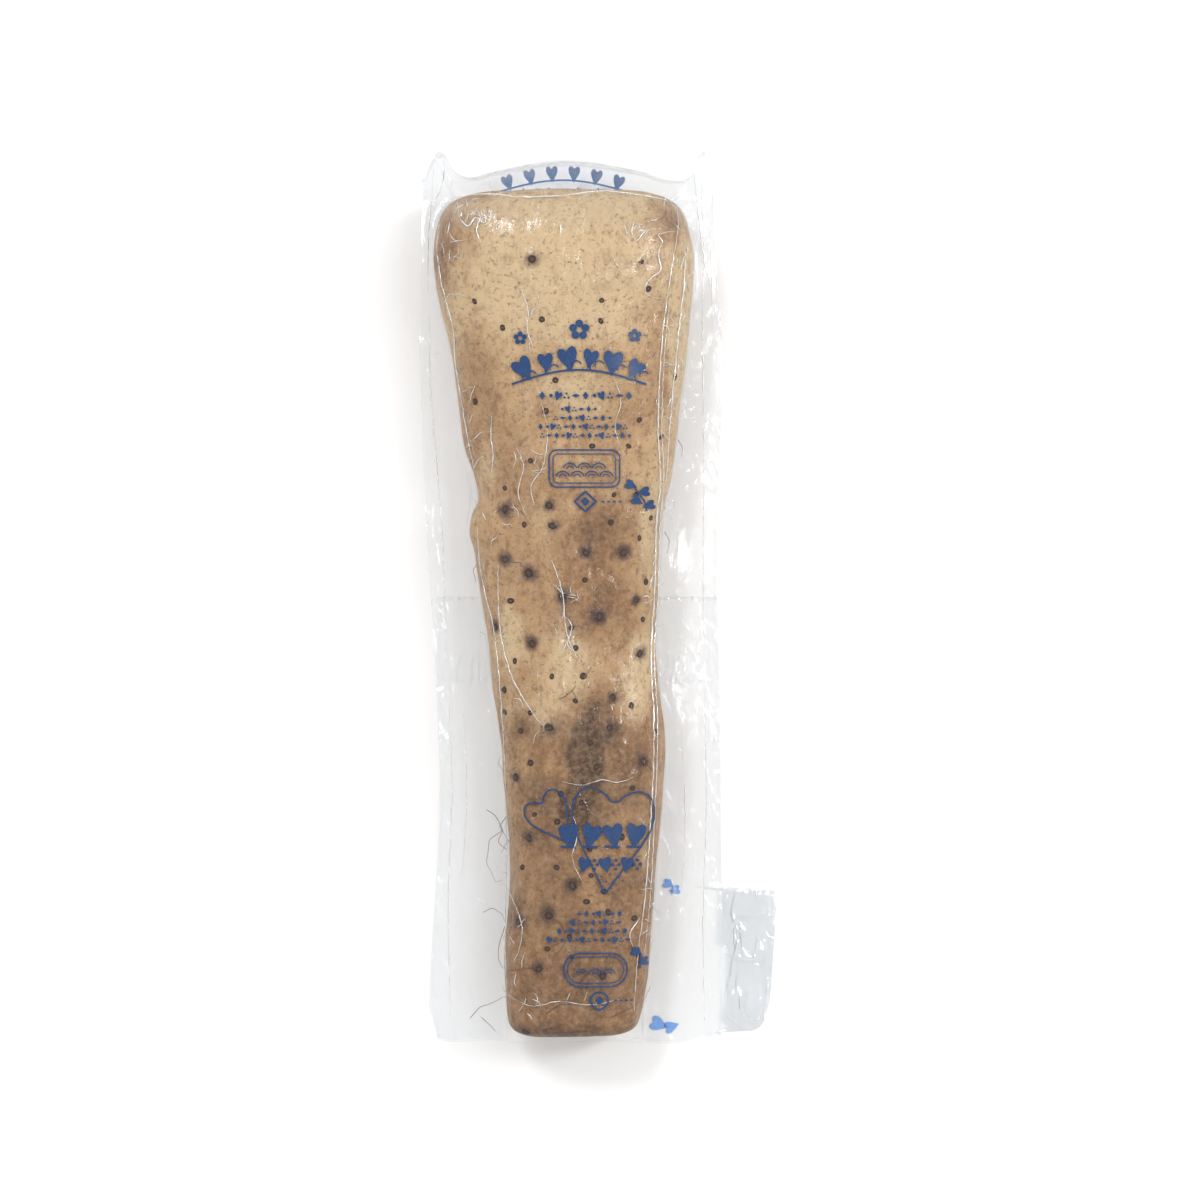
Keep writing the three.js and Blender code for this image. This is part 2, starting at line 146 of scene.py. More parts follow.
# Folds where the film pulls across the yam: points along each, then height and width.
FILM_CREASES = (
    (((23.1, 117), (23.5, 110.6), (21.4, 97), (20, 88), (18.9, 79), (17.8, 63), (17.5, 49), (18.2, 35),
      (17.1, 23), (16.5, 2.4), (15.4, -18), (16.2, -34.6), (16.2, -49), (15.1, -69.5), (13.6, -90),
      (11.2, -110), (10.4, -124)), 0.3, 0.7),
    (((21.2, 92), (19.9, 79), (18.9, 63), (18.6, 49), (19.2, 35), (18.2, 23), (17.6, 2.4), (16.4, -18),
      (17.3, -35), (17.2, -49), (16.3, -70), (15.2, -90), (13.4, -108)), 0.22, 0.5),
    (((25.6, 106), (25.3, 94), (24.2, 84), (22.8, 70), (21.4, 56), (20.2, 38), (19.6, 26)), 0.25, 0.55),
    (((22.8, 108.8), (19.6, 108.2), (17.5, 107.4), (18.7, 105.6), (17.5, 101.7), (18.2, 97.1),
      (15.4, 94.6), (13.6, 92.2), (14.6, 89.3), (18.9, 88.3)), 0.26, 0.5),
    (((-44.5, 119), (-33.2, 119.8), (-22.5, 118.7), (-11.2, 119.1), (1.5, 120.5), (12.9, 119.4),
      (20, 118.2), (23, 116)), 0.3, 0.6),
    (((-47, 118.6), (-48.5, 106), (-47.3, 94.3), (-43.8, 80.2), (-43, 70.2), (-40.9, 56),
      (-37.6, 38)), 0.24, 0.5),
    (((-42.5, 117.5), (-41.4, 112.5), (-39, 110), (-36.8, 112.6), (-34.2, 111), (-33.6, 115)), 0.3, 0.6),
    (((-37, 116), (-35.5, 113), (-36.5, 108.5), (-35, 105)), 0.22, 0.5),
    (((10.4, 111.5), (9.6, 108), (11, 105.6), (13.4, 108.4), (15.6, 109.4)), 0.3, 0.6),
    (((-23.2, 91.5), (-21.1, 84.4), (-21.4, 79), (-19.6, 74)), 0.16, 0.4),
    (((-32.1, 54), (-32.3, 48), (-31.7, 41.9), (-32.6, 35)), 0.22, 0.45),
    (((-17.6, 59), (-15.5, 49), (-16.9, 38.4), (-20.2, 33), (-19.4, 27)), 0.16, 0.4),
    (((-25, 45), (-22.6, 39), (-24.2, 31), (-21.8, 24)), 0.22, 0.45),
    (((-36.6, 20.9), (-35.4, 6.5), (-31.4, -11), (-29.2, -34.6), (-28, -59)), 0.2, 0.45),
    (((-28, -62), (-28, -80), (-28.4, -100), (-27.8, -120)), 0.2, 0.45),
    (((-30.3, 9.6), (-29.8, -7.9), (-26.7, -22.3), (-20, -34.6), (-15.4, -39.8)), 0.26, 0.5),
    (((-14.9, 12.7), (-11.3, 2.4), (-9.7, -11), (-5.6, -20.2)), 0.24, 0.5),
    (((-11, -5), (-8.2, -9), (-9.4, -14.5), (-6.4, -17)), 0.26, 0.55),
    (((-11.9, -55), (-5, -56), (0.5, -54.6), (6, -55.2), (10.8, -53.6)), 0.12, 0.35),
    (((-27.2, -88), (-23.6, -96.3), (-23.1, -100.4), (-24.4, -107)), 0.22, 0.45),
    (((-27.5, -119.5), (-20, -122), (-12, -120.6), (-3, -121.6), (6, -120)), 0.16, 0.4),
    (((-9, -62), (-6.5, -70), (-8, -78), (-4.6, -86)), 0.14, 0.4),
    (((4, 66), (6.4, 58), (4.6, 50), (7.5, 42)), 0.12, 0.35),
    (((12, -96), (9, -101), (11, -106)), 0.2, 0.45),
    (((31.6, 133.6), (30.8, 124), (31.4, 104), (31, 78), (31.5, 40), (31.2, 4), (31.5, -17)), 0.22, 0.45),
    (((28.4, 127), (29.6, 116), (31, 104), (33.4, 92)), 0.25, 0.5),
    (((33.6, 134), (33.2, 118), (33.8, 96), (34, 74)), 0.2, 0.4),
    (((-49.8, 131.4), (-50.4, 122), (-51.4, 108), (-51.6, 92)), 0.22, 0.45),
    (((-47, 132.6), (-46.6, 127), (-48.2, 121.5), (-50.6, 117)), 0.25, 0.5),
    (((-51.2, 84), (-50.8, 62), (-49, 40), (-47.2, 16), (-46.4, -12)), 0.2, 0.45),
    (((-45.4, -29), (-44.4, -58), (-45.6, -92), (-45, -128)), 0.22, 0.45),
    (((-41, -34), (-40, -60), (-41.4, -84)), 0.16, 0.4),
    (((31.6, -28), (32.2, -62), (31.2, -96), (31.8, -128)), 0.22, 0.45),
    (((24.6, -40), (25.8, -66), (24.8, -88)), 0.16, 0.4),
    (((-38, 125.4), (-30, 127.4), (-18, 129.6), (-8, 130.2), (4, 129), (14, 126.8)), 0.16, 0.4),
)
# Folds on the tail, where it lies clear of the yam.
TAIL_CREASES = (
    (((45.2, -119), (47.6, -119.6), (49.2, -123), (48.4, -127.4), (46, -128.6), (44.2, -125),
      (44.6, -121), (45.8, -119)), 0.25, 0.45),
    (((38, -95.5), (43, -96.6), (50, -96), (52.6, -97)), 0.15, 0.4),
    (((37.6, -108), (44, -110), (51, -109.2)), 0.15, 0.4),
    (((38, -126), (42, -129.6), (45, -130.4)), 0.2, 0.4),
)
# Where the film is crumpled: x, y, half width, half height, strength.
CRUMPLES = (
    (-37, 114.5, 6, 5, 1.5), (-43.5, 107, 3, 9, 0.7), (12, 109.5, 4.5, 4, 1.4), (22, 112, 4, 6, 0.6),
    (24.6, 88, 3, 12, 0.9), (23, 66, 3, 18, 1.0), (20.6, 42, 2.6, 16, 0.8), (-23, 36, 5, 16, 0.5),
    (-45, 88, 3, 20, 0.5), (-39, 45, 3, 20, 0.5), (-34, 5, 3, 20, 0.5), (-10, -8, 4, 14, 0.7),
    (-22, -38, 6, 6, 0.4), (15.5, -90, 3, 26, 0.6), (-26, -95, 4, 22, 0.6), (-10, -122, 18, 5, 0.4),
    (17, -10, 2.4, 30, 0.6), (-20, 82, 5, 10, 0.3),
)

# Rootlets: points x, y along each, and its thickness. They lie on the yam, under the film.
ROOTLETS = (
    (((-34, -64), (-31, -66), (-29, -70), (-30.5, -74), (-28, -76), (-27, -72)), 0.28),
    (((-29, -70), (-33, -73), (-34, -80), (-31, -86), (-29, -85)), 0.22),
    (((-28, -66), (-30, -69), (-27.5, -73), (-29.5, -77)), 0.26),
    (((-35, -95), (-32, -93.5), (-29.5, -95), (-28.5, -98)), 0.24),
    (((-28.5, -99), (-30, -104), (-30.5, -109), (-29, -112), (-27, -110.5)), 0.26),
    (((-39, -127), (-36, -123.5), (-32, -122), (-28.5, -120), (-26, -121)), 0.26),
    (((-35.5, -126.5), (-33, -129), (-31, -131)), 0.24),
    (((-28, -112), (-22.5, -111), (-18.5, -110.5)), 0.3),
    (((-16, -124.5), (-12, -121.5), (-4.5, -120.5)), 0.3),
    (((3, -125.5), (9, -123), (14, -120.5), (15, -117)), 0.26),
    (((-12, -30.5), (-9, -29), (-7, -26.5)), 0.26),
    (((-27.5, 10.5), (-23.5, 10), (-21.5, 7.5)), 0.3),
    (((23.5, 47), (25, 45), (24.5, 42)), 0.24),
    (((19.5, 19.5), (21, 17), (20.5, 13)), 0.24),
    (((-36, 11), (-38, 8), (-37, 4)), 0.22),
    (((-15, -95), (-11, -98), (-10, -103), (-13, -107)), 0.24),
    (((13, -49), (16, -52), (18.5, -51)), 0.22),
    (((-25, -51), (-28.5, -53), (-30.5, -50), (-29, -47)), 0.22),
    (((4, -128), (8, -129.5), (11, -127.5)), 0.24),
)


def linear(red, green, blue):
    """Linear colour of an sRGB one given as 0 to 255."""
    return tuple(((c / 255 + 0.055) / 1.055) ** 2.4 if c > 10 else c / 3294 for c in (red, green, blue))


# ---- Settings -----------------------------------------------------------------------------------


class TuberSettings(bpy.types.PropertyGroup):
    around: IntProperty(name="Points around", description="Points round the tuber", default=176, min=24)
    rings: IntProperty(name="Rings", description="Cross-sections along the tuber", default=250, min=24)
    lumps: FloatProperty(
        name="Lumps", description="Height of the skin's soft lumps", default=0.55 * MM, unit="LENGTH"
    )
    skin: FloatVectorProperty(
        name="Skin", description="Colour of plain skin", subtype="COLOR", default=linear(148, 114, 80)
    )
    pale_skin: FloatVectorProperty(
        name="Pale skin", description="Colour where the skin is thin", subtype="COLOR",
        default=linear(186, 162, 127),
    )
    stain: FloatVectorProperty(
        name="Stain", description="Colour of the brown patches", subtype="COLOR",
        default=linear(60, 35, 18),
    )
    scar: FloatVectorProperty(
        name="Scar", description="Colour of the root scars", subtype="COLOR", default=linear(64, 42, 30)
    )


class PouchSettings(bpy.types.PropertyGroup):
    film: FloatProperty(
        name="Film", description="Thickness of one web", default=FILM * MM, unit="LENGTH"
    )
    haze: FloatProperty(
        name="Haze", description="How milky the plain film is", default=0.06, min=0, max=1
    )
    tint: FloatVectorProperty(
        name="Tint", description="Colour of the film", subtype="COLOR", default=linear(233, 236, 238)
    )


class PrintSettings(bpy.types.PropertyGroup):
    ink: FloatVectorProperty(
        name="Ink", description="Colour of the print", subtype="COLOR", default=linear(8, 46, 92)
    )
    # Painted light: the same blue ink in a paler copy, standing in for light shining through the print from behind.
    backlit_far_ink: FloatVectorProperty(
        name="Backlit far ink", description="Colour of print seen from behind, through the film",
        subtype="COLOR", default=linear(84, 144, 224),
    )


class StageSettings(bpy.types.PropertyGroup):
    floor: FloatVectorProperty(
        name="Floor", description="Colour of the floor", subtype="COLOR", default=(0.82, 0.82, 0.82)
    )
    lens: FloatProperty(name="Lens", description="Focal length in millimetres", default=180, min=20)


# ---- Curves and cross-sections ------------------------------------------------------------------


def mix(a, b, share):
    return a + (b - a) * share


def clamp(value, low=0.0, high=1.0):
    return min(max(value, low), high)


def ease(share):
    return share * share * (3 - 2 * share)


def follow(rows, column, at):
    """Value in `column` at `at`, on a smooth curve through rows sorted by their first value."""
    last = len(rows) - 1
    place = clamp(at, rows[0][0], rows[last][0])
    i = 0
    while i < last - 1 and rows[i + 1][0] < place:
        i += 1

    def slope(k):
        before, after = rows[max(k - 1, 0)], rows[min(k + 1, last)]
        return (after[column] - before[column]) / (after[0] - before[0])

    a, b = rows[i], rows[i + 1]
    span = b[0] - a[0]
    s = (place - a[0]) / span
    leave = s * (1 - s) ** 2 * span * slope(i)
    arrive = s * s * (s - 1) * span * slope(i + 1)
    return mix(a[column], b[column], ease(s)) + leave + arrive


def rounded(share):
    return (1 - clamp(share) ** END_POWER) ** (1 / END_POWER)


def section_curve(value):
    return math.copysign(abs(value) ** (2 / SECTION_POWER), value)


def section_at(y, scale=None):
    """Middle, half width, height of the widest line, and the reach above and below it."""
    left, right, thick = (follow(YAM_OUTLINE, column, y) for column in (1, 2, 3))
    if scale is None:
        scale = rounded((BODY_START - y) / NECK_CAP) * rounded((y - BODY_END) / BROAD_CAP)
    landed = ease(clamp((y - TAIL_CUT - 2) / (BELLY_LANDS - TAIL_CUT - 2)))
    base = mix(BELLY_Z, FILM / 2, landed) + CLEARANCE
    widest = base + thick * (1 - UPPER_SHARE)
    half = (right - left) / 2 * scale
    return (left + right) / 2, half, widest, thick * UPPER_SHARE * scale, thick * (1 - UPPER_SHARE) * scale


def even_angles(count, turn):
    """Angles that space `count` + 1 points evenly round a typical section, over `turn`."""
    fine = [turn * k / 4000 for k in range(4001)]
    points = [(26 * section_curve(math.cos(a)), 18 * section_curve(math.sin(a))) for a in fine]
    lengths = [0.0]
    for p, q in zip(points, points[1:]):
        lengths.append(lengths[-1] + math.dist(p, q))
    angles, at = [], 0
    for k in range(count + 1):
        target = lengths[-1] * k / count
        while at < len(lengths) - 2 and lengths[at + 1] < target:
            at += 1
        angles.append(fine[at])
    angles[-1] = turn
    return angles


def lump(point):
    """Height of the yam's soft lumps at a point, from about -1 to 1."""
    broad = noise.noise(Vector((point[0] / 17, point[1] / 24, point[2] / 17)))
    small = noise.noise(Vector((point[0] / 6 + 9, point[1] / 7, point[2] / 6)))
    return broad + 0.35 * small


def patch(table, x, y):
    total = 0.0
    for px, py, width, height, strength in table:
        reach = ((x - px) / width) ** 2 + ((y - py) / height) ** 2
        if reach < 6:
            total += strength * math.exp(-reach * 1.1)
    return total


# ---- Making and finishing objects ----------------------------------------------------------------


def deselect_all():
    if bpy.context.object and bpy.context.object.mode != "OBJECT":
        bpy.ops.object.mode_set(mode="OBJECT")
    bpy.ops.object.select_all(action="DESELECT")


def make_active(piece):
    deselect_all()
    piece.select_set(True)
    bpy.context.view_layer.objects.active = piece


def added(name):
    piece = bpy.context.object
    piece.name = piece.data.name = name
    return piece


def apply_modifier(piece, kind, **values):
    make_active(piece)
    modifier = piece.modifiers.new(kind.title(), kind)
    for key, value in values.items():
        setattr(modifier, key, value)
    bpy.ops.object.modifier_apply(modifier=modifier.name)


def grid_piece(name, rows):
    """A sheet of quads through rows of points in millimetres."""
    deselect_all()
    count, across = len(rows), len(rows[0])
    bpy.ops.mesh.primitive_grid_add(x_subdivisions=across - 1, y_subdivisions=count - 1, size=1)
    piece = added(name)
    for vertex in piece.data.vertices:
        j = round((vertex.co.x + 0.5) * (across - 1))
        i = round((vertex.co.y + 0.5) * (count - 1))
        vertex.co = Vector(rows[i][j]) * MM
    return piece


def set_attribute(piece, name, values):
    attribute = piece.data.attributes.new(name, "FLOAT", "POINT")
    attribute.data.foreach_set("value", values)


def surface_of(piece):
    mesh = piece.data
    return BVHTree.FromPolygons([v.co.copy() for v in mesh.vertices], [p.vertices[:] for p in mesh.polygons])


def top_of(surface, x, y):
    """The highest point of a surface over a place given in millimetres, and its normal."""
    spot, normal, _, _ = surface.ray_cast(Vector((x * MM, y * MM, 0.08)), Vector((0, 0, -1)))
    return spot, normal


def joined(name, pieces):
    deselect_all()
    for piece in pieces:
        piece.select_set(True)
    bpy.context.view_layer.objects.active = pieces[0]
    bpy.ops.object.join()
    return added(name)


def smooth(piece, angle=None):
    make_active(piece)
    if angle is None:
        bpy.ops.object.shade_smooth()
    else:
        bpy.ops.object.shade_smooth_by_angle(angle=math.radians(angle))


def settle(piece, slot, *nodes):
    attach(piece, "root")
    if nodes:
        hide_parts(*nodes)


# ---- Materials -----------------------------------------------------------------------------------


class Nodes:
    """Short calls for building one node tree."""

    def __init__(self, tree):
        self.tree = tree

    def add(self, kind, inputs=(), **values):
        node = self.tree.nodes.new(kind)
        for key, value in values.items():
            setattr(node, key, value)
        for key, value in dict(inputs).items():
            if hasattr(value, "is_output") or isinstance(value, bpy.types.NodeSocket):
                self.tree.links.new(value, node.inputs[key])
            else:
                node.inputs[key].default_value = value
        return node

    def math(self, operation, a, b=0.0, clamped=False):
        return self.add("ShaderNodeMath", {0: a, 1: b}, operation=operation, use_clamp=clamped).outputs[0]

    def blend(self, factor, a, b):
        node = self.add("ShaderNodeMix", data_type="RGBA")
        for index, value in ((0, factor), (6, a), (7, b)):
            if isinstance(value, bpy.types.NodeSocket):
                self.tree.links.new(value, node.inputs[index])
            else:
                node.inputs[index].default_value = (*value, 1) if isinstance(value, tuple) and len(value) == 3 else value
        return node.outputs[2]

    def spread(self, value, low, high, to_low=0.0, to_high=1.0):
        node = self.add(
            "ShaderNodeMapRange",
            {"Value": value, "From Min": low, "From Max": high, "To Min": to_low, "To Max": to_high},
            interpolation_type="SMOOTHSTEP",
        )
        return node.outputs["Result"]

    def attribute(self, name):
        return self.add("ShaderNodeAttribute", attribute_name=name).outputs["Fac"]

    def coordinates(self):
        return self.add("ShaderNodeTexCoord").outputs["Object"]

    def noise(self, vector, scale, detail=4.0, roughness=0.55, stretch=(1, 1, 1)):
        if stretch != (1, 1, 1):
            vector = self.add("ShaderNodeMapping", {"Vector": vector, "Scale": stretch}).outputs[0]
        node = self.add(
            "ShaderNodeTexNoise",
            {"Vector": vector, "Scale": scale, "Detail": detail, "Roughness": roughness},
        )
        return node.outputs["Fac"]


def new_material(name):
    material = bpy.data.materials.new(name)
    material.use_nodes = True
    material.node_tree.nodes.clear()
    return material, Nodes(material.node_tree)


def fine_grain_group():
    """A node group: a fine, irregular grain as a height and as a mask."""
    if "fine grain" in bpy.data.node_groups:
        return bpy.data.node_groups["fine grain"]
    group = bpy.data.node_groups.new("fine grain", "ShaderNodeTree")
    for name, kind, way in (
        ("Vector", "NodeSocketVector", "INPUT"), ("Scale", "NodeSocketFloat", "INPUT"),
        ("Height", "NodeSocketFloat", "OUTPUT"), ("Mask", "NodeSocketFloat", "OUTPUT"),
    ):
        group.interface.new_socket(name=name, socket_type=kind, in_out=way)
    nodes = Nodes(group)
    entry, leave = nodes.add("NodeGroupInput"), nodes.add("NodeGroupOutput")
    fine = nodes.add(
        "ShaderNodeTexNoise",
        {"Vector": entry.outputs["Vector"], "Scale": entry.outputs["Scale"], "Detail": 6.0, "Roughness": 0.65},
    ).outputs["Fac"]
    cells = nodes.add(
        "ShaderNodeTexVoronoi", {"Vector": entry.outputs["Vector"], "Scale": entry.outputs["Scale"]},
        feature="DISTANCE_TO_EDGE",
    ).outputs["Distance"]
    cracks = nodes.spread(cells, 0.0, 0.12, 0.35, 1.0)
    height = nodes.math("MULTIPLY", fine, cracks)
    group.links.new(height, leave.inputs["Height"])
    group.links.new(nodes.spread(fine, 0.38, 0.68), leave.inputs["Mask"])
    return group


def grain(nodes, vector, scale):
    node = nodes.add("ShaderNodeGroup")
    node.node_tree = fine_grain_group()
    nodes.tree.links.new(vector, node.inputs["Vector"])
    node.inputs["Scale"].default_value = scale
    return node.outputs["Height"], node.outputs["Mask"]


def ridges(nodes, value, width):
    """Sharp lines where a noise passes through its middle value."""
    away = nodes.math("ABSOLUTE", nodes.math("SUBTRACT", value, 0.5))
    return nodes.spread(away, 0.0, width, 1.0, 0.0)


def skin_material(settings):
    material, nodes = new_material("yam skin")
    place = nodes.coordinates()
    pale, stain = nodes.attribute("pale"), nodes.attribute("stain")
    halo = nodes.attribute("halo")
    broad = nodes.noise(place, 55, 5, 0.6, (1, 0.55, 1))
    mottle = nodes.noise(place, 210, 8, 0.74, (1, 0.6, 1))
    streak = nodes.noise(place, 420, 5, 0.62, (1, 0.3, 1))
    speck = nodes.noise(place, 950, 4, 0.65)
    fleck = nodes.noise(place, 380, 5, 0.7, (1, 0.7, 1))
    height, mask = grain(nodes, place, 620)

    skin = nodes.blend(nodes.spread(broad, 0.38, 0.62), tuple(settings.skin), linear(172, 140, 102))
    pale_at = nodes.math("ADD", nodes.math("MULTIPLY", mottle, 1.1), nodes.math("SUBTRACT", pale, 0.55))
    skin = nodes.blend(nodes.spread(pale_at, 0.15, 0.65, 0.0, 0.9), skin, tuple(settings.pale_skin))
    brown_at = nodes.math("ADD", nodes.math("MULTIPLY", mottle, 1.1), nodes.math("MULTIPLY", stain, 0.62))
    brown_at = nodes.math("ADD", brown_at, nodes.math("MULTIPLY", broad, 0.45))
    skin = nodes.blend(nodes.spread(brown_at, 0.82, 1.3, 0.0, 0.75), skin, linear(118, 80, 46))
    skin = nodes.blend(nodes.spread(brown_at, 1.1, 1.75, 0.0, 0.92), skin, tuple(settings.stain))
    skin = nodes.blend(nodes.spread(streak, 0.52, 0.72, 0.0, 0.3), skin, linear(112, 78, 52))
    fleck_at = nodes.math("SUBTRACT", 1.0, nodes.math("MULTIPLY", pale, 0.6), clamped=True)
    fleck_at = nodes.math("MULTIPLY", nodes.spread(fleck, 0.5, 0.64, 0.0, 0.55), fleck_at)
    skin = nodes.blend(fleck_at, skin, linear(100, 67, 42))
    skin = nodes.blend(nodes.spread(speck, 0.56, 0.66, 0.0, 0.6), skin, linear(66, 42, 28))
    skin = nodes.blend(nodes.math("MULTIPLY", mask, 0.16), skin, linear(206, 182, 146))
    halo_at = nodes.math("MULTIPLY", halo, nodes.spread(mottle, 0.3, 0.62, 0.55, 1.2))
    skin = nodes.blend(nodes.spread(halo_at, 0.15, 1.0, 0.0, 0.85), skin, linear(62, 44, 42))

    bump = nodes.add("ShaderNodeBump", {"Height": height, "Strength": 0.5, "Distance": 0.00035})
    wide = nodes.add(
        "ShaderNodeBump", {"Height": mottle, "Strength": 0.6, "Distance": 0.0007, "Normal": bump.outputs[0]}
    )
    shader = nodes.add(
        "ShaderNodeBsdfPrincipled",
        {
            "Base Color": skin,
            "Roughness": nodes.spread(mottle, 0.3, 0.7, 0.62, 0.8),
            "Normal": wide.outputs[0],
            "Subsurface Weight": 0.05,
            "Subsurface Radius": (0.004, 0.0022, 0.0012),
            "Subsurface Scale": 0.35,
            "Specular IOR Level": 0.35,
        },
    )
    out = nodes.add("ShaderNodeOutputMaterial")
    nodes.tree.links.new(shader.outputs[0], out.inputs[0])
    return material


def scar_material(settings):
    material, nodes = new_material("root scar")
    place = nodes.coordinates()
    rim = nodes.attribute("rim")
    height, mask = grain(nodes, place, 1700)
    tone = nodes.blend(mask, tuple(settings.scar), linear(84, 58, 42))
    tone = nodes.blend(nodes.spread(rim, 0.15, 0.8), tone, linear(30, 19, 15))
    bump = nodes.add("ShaderNodeBump", {"Height": height, "Strength": 0.6, "Distance": 0.0002})
    shader = nodes.add(
        "ShaderNodeBsdfPrincipled", {"Base Color": tone, "Roughness": 0.8, "Normal": bump.outputs[0]}
    )
    out = nodes.add("ShaderNodeOutputMaterial")
    nodes.tree.links.new(shader.outputs[0], out.inputs[0])
    return material


def rootlet_material():
    material, nodes = new_material("dry rootlet")
    place = nodes.coordinates()
    tone = nodes.blend(nodes.noise(place, 700, 3), linear(58, 44, 36), linear(104, 78, 56))
    shader = nodes.add("ShaderNodeBsdfPrincipled", {"Base Color": tone, "Roughness": 0.75})
    out = nodes.add("ShaderNodeOutputMaterial")
    nodes.tree.links.new(shader.outputs[0], out.inputs[0])
    return material


def film_material(settings):
    """Clear film: mostly see-through, shiny, and milkier in its seals and creases."""
    material, nodes = new_material("clear film")
    place = nodes.coordinates()
    seal, crease, crumple, loose = (
        nodes.attribute(name) for name in ("seal", "crease", "crumple", "loose")
    )
    drift = nodes.noise(place, 38, 4, 0.55, (1, 0.3, 1))
    fine = nodes.noise(place, 170, 5, 0.6, (1, 0.4, 1))
    ribs = nodes.noise(place, 900, 2, 0.5, (1, 0.04, 1))
    folds = ridges(nodes, nodes.noise(place, 70, 3, 0.5, (1, 0.35, 1)), 0.035)
    crackle = ridges(nodes, nodes.noise(place, 210, 2, 0.5, (1, 0.45, 1)), 0.05)
    patchy = nodes.spread(nodes.noise(place, 60, 3, 0.5), 0.46, 0.62)
    height = nodes.math("ADD", nodes.math("MULTIPLY", drift, 1.5), nodes.math("MULTIPLY", fine, 0.5))
    height = nodes.math("ADD", height, nodes.math("MULTIPLY", folds, 0.3))
    height = nodes.math("ADD", height, nodes.math("MULTIPLY", nodes.math("MULTIPLY", crackle, patchy), 0.22))
    height = nodes.math("ADD", height, nodes.math("MULTIPLY", nodes.math("MULTIPLY", ribs, seal), 0.16))
    facets = nodes.noise(place, 330, 3, 0.6, (1, 0.7, 1))
    height = nodes.math("ADD", height, nodes.math("MULTIPLY", nodes.math("MULTIPLY", facets, crumple), 1.1))
    bump = nodes.add("ShaderNodeBump", {"Height": height, "Strength": 0.6, "Distance": 0.0016})
    rough = nodes.math("ADD", nodes.spread(fine, 0.3, 0.7, 0.07, 0.14), nodes.math("MULTIPLY", seal, 0.1))
    shader = nodes.add(
        "ShaderNodeBsdfPrincipled",
        {
            "Base Color": (*settings.tint, 1),
            "Metallic": 0.8,
            "Roughness": rough,
            "Normal": bump.outputs[0],
        },
    )
    edge_on = nodes.add("ShaderNodeFresnel", {"IOR": 1.38, "Normal": bump.outputs[0]}).outputs[0]
    edge_on = nodes.math("MINIMUM", nodes.math("MULTIPLY", edge_on, 0.62), 0.2)
    milk = nodes.math("ADD", nodes.math("MULTIPLY", seal, 0.06), nodes.math("MULTIPLY", crease, 0.2))
    milk = nodes.math("ADD", milk, nodes.math("MULTIPLY", loose, settings.haze))
    milk = nodes.math("ADD", milk, nodes.math("MULTIPLY", nodes.math("MULTIPLY", loose, crease), 0.5))
    shows = nodes.math("ADD", edge_on, milk, clamped=True)
    rays = nodes.add("ShaderNodeLightPath").outputs
    unseen = nodes.math("MAXIMUM", rays["Is Shadow Ray"], rays["Is Diffuse Ray"])
    seen = nodes.math("SUBTRACT", 1.0, nodes.math("MULTIPLY", unseen, 0.9))
    inner = nodes.add("ShaderNodeNewGeometry").outputs["Backfacing"]
    shows = nodes.math("MULTIPLY", shows, seen)
    shows = nodes.math("MULTIPLY", shows, nodes.math("SUBTRACT", 1.0, inner))
    dim = nodes.blend(nodes.math("MULTIPLY", loose, seen), (1.0, 1.0, 1.0), linear(247, 248, 249))
    clear = nodes.add("ShaderNodeBsdfTransparent", {"Color": dim})
    both = nodes.add("ShaderNodeMixShader", {0: shows, 1: clear.outputs[0], 2: shader.outputs[0]})
    out = nodes.add("ShaderNodeOutputMaterial")
    nodes.tree.links.new(both.outputs[0], out.inputs[0])
    return material


def pleat_material(settings):
    """The same film where it is pinched into a narrow fold, so milkier and brighter."""
    material, nodes = new_material("pinched film")
    place = nodes.coordinates()
    breaks = nodes.noise(place, 260, 3, 0.6)
    shader = nodes.add(
        "ShaderNodeBsdfPrincipled",
        {"Base Color": (0.9, 0.92, 0.92, 1), "Metallic": 0.35, "Roughness": nodes.spread(breaks, 0.3, 0.7, 0.1, 0.2)},
    )
    clear = nodes.add("ShaderNodeBsdfTransparent")
    shows = nodes.spread(breaks, 0.34, 0.6, 0.16, 0.8)
    both = nodes.add("ShaderNodeMixShader", {0: shows, 1: clear.outputs[0], 2: shader.outputs[0]})
    out = nodes.add("ShaderNodeOutputMaterial")
    nodes.tree.links.new(both.outputs[0], out.inputs[0])
    return material


def ink_material(name, plain, worn):
    material, nodes = new_material(name)
    place = nodes.coordinates()
    wear = nodes.noise(place, 1400, 4, 0.6)
    tone = nodes.blend(nodes.spread(wear, 0.35, 0.7), tuple(plain), tuple(worn))
    shader = nodes.add("ShaderNodeBsdfPrincipled", {"Base Color": tone, "Roughness": 0.35})
    out = nodes.add("ShaderNodeOutputMaterial")
    nodes.tree.links.new(shader.outputs[0], out.inputs[0])
    return material


# ---- The tuber -----------------------------------------------------------------------------------


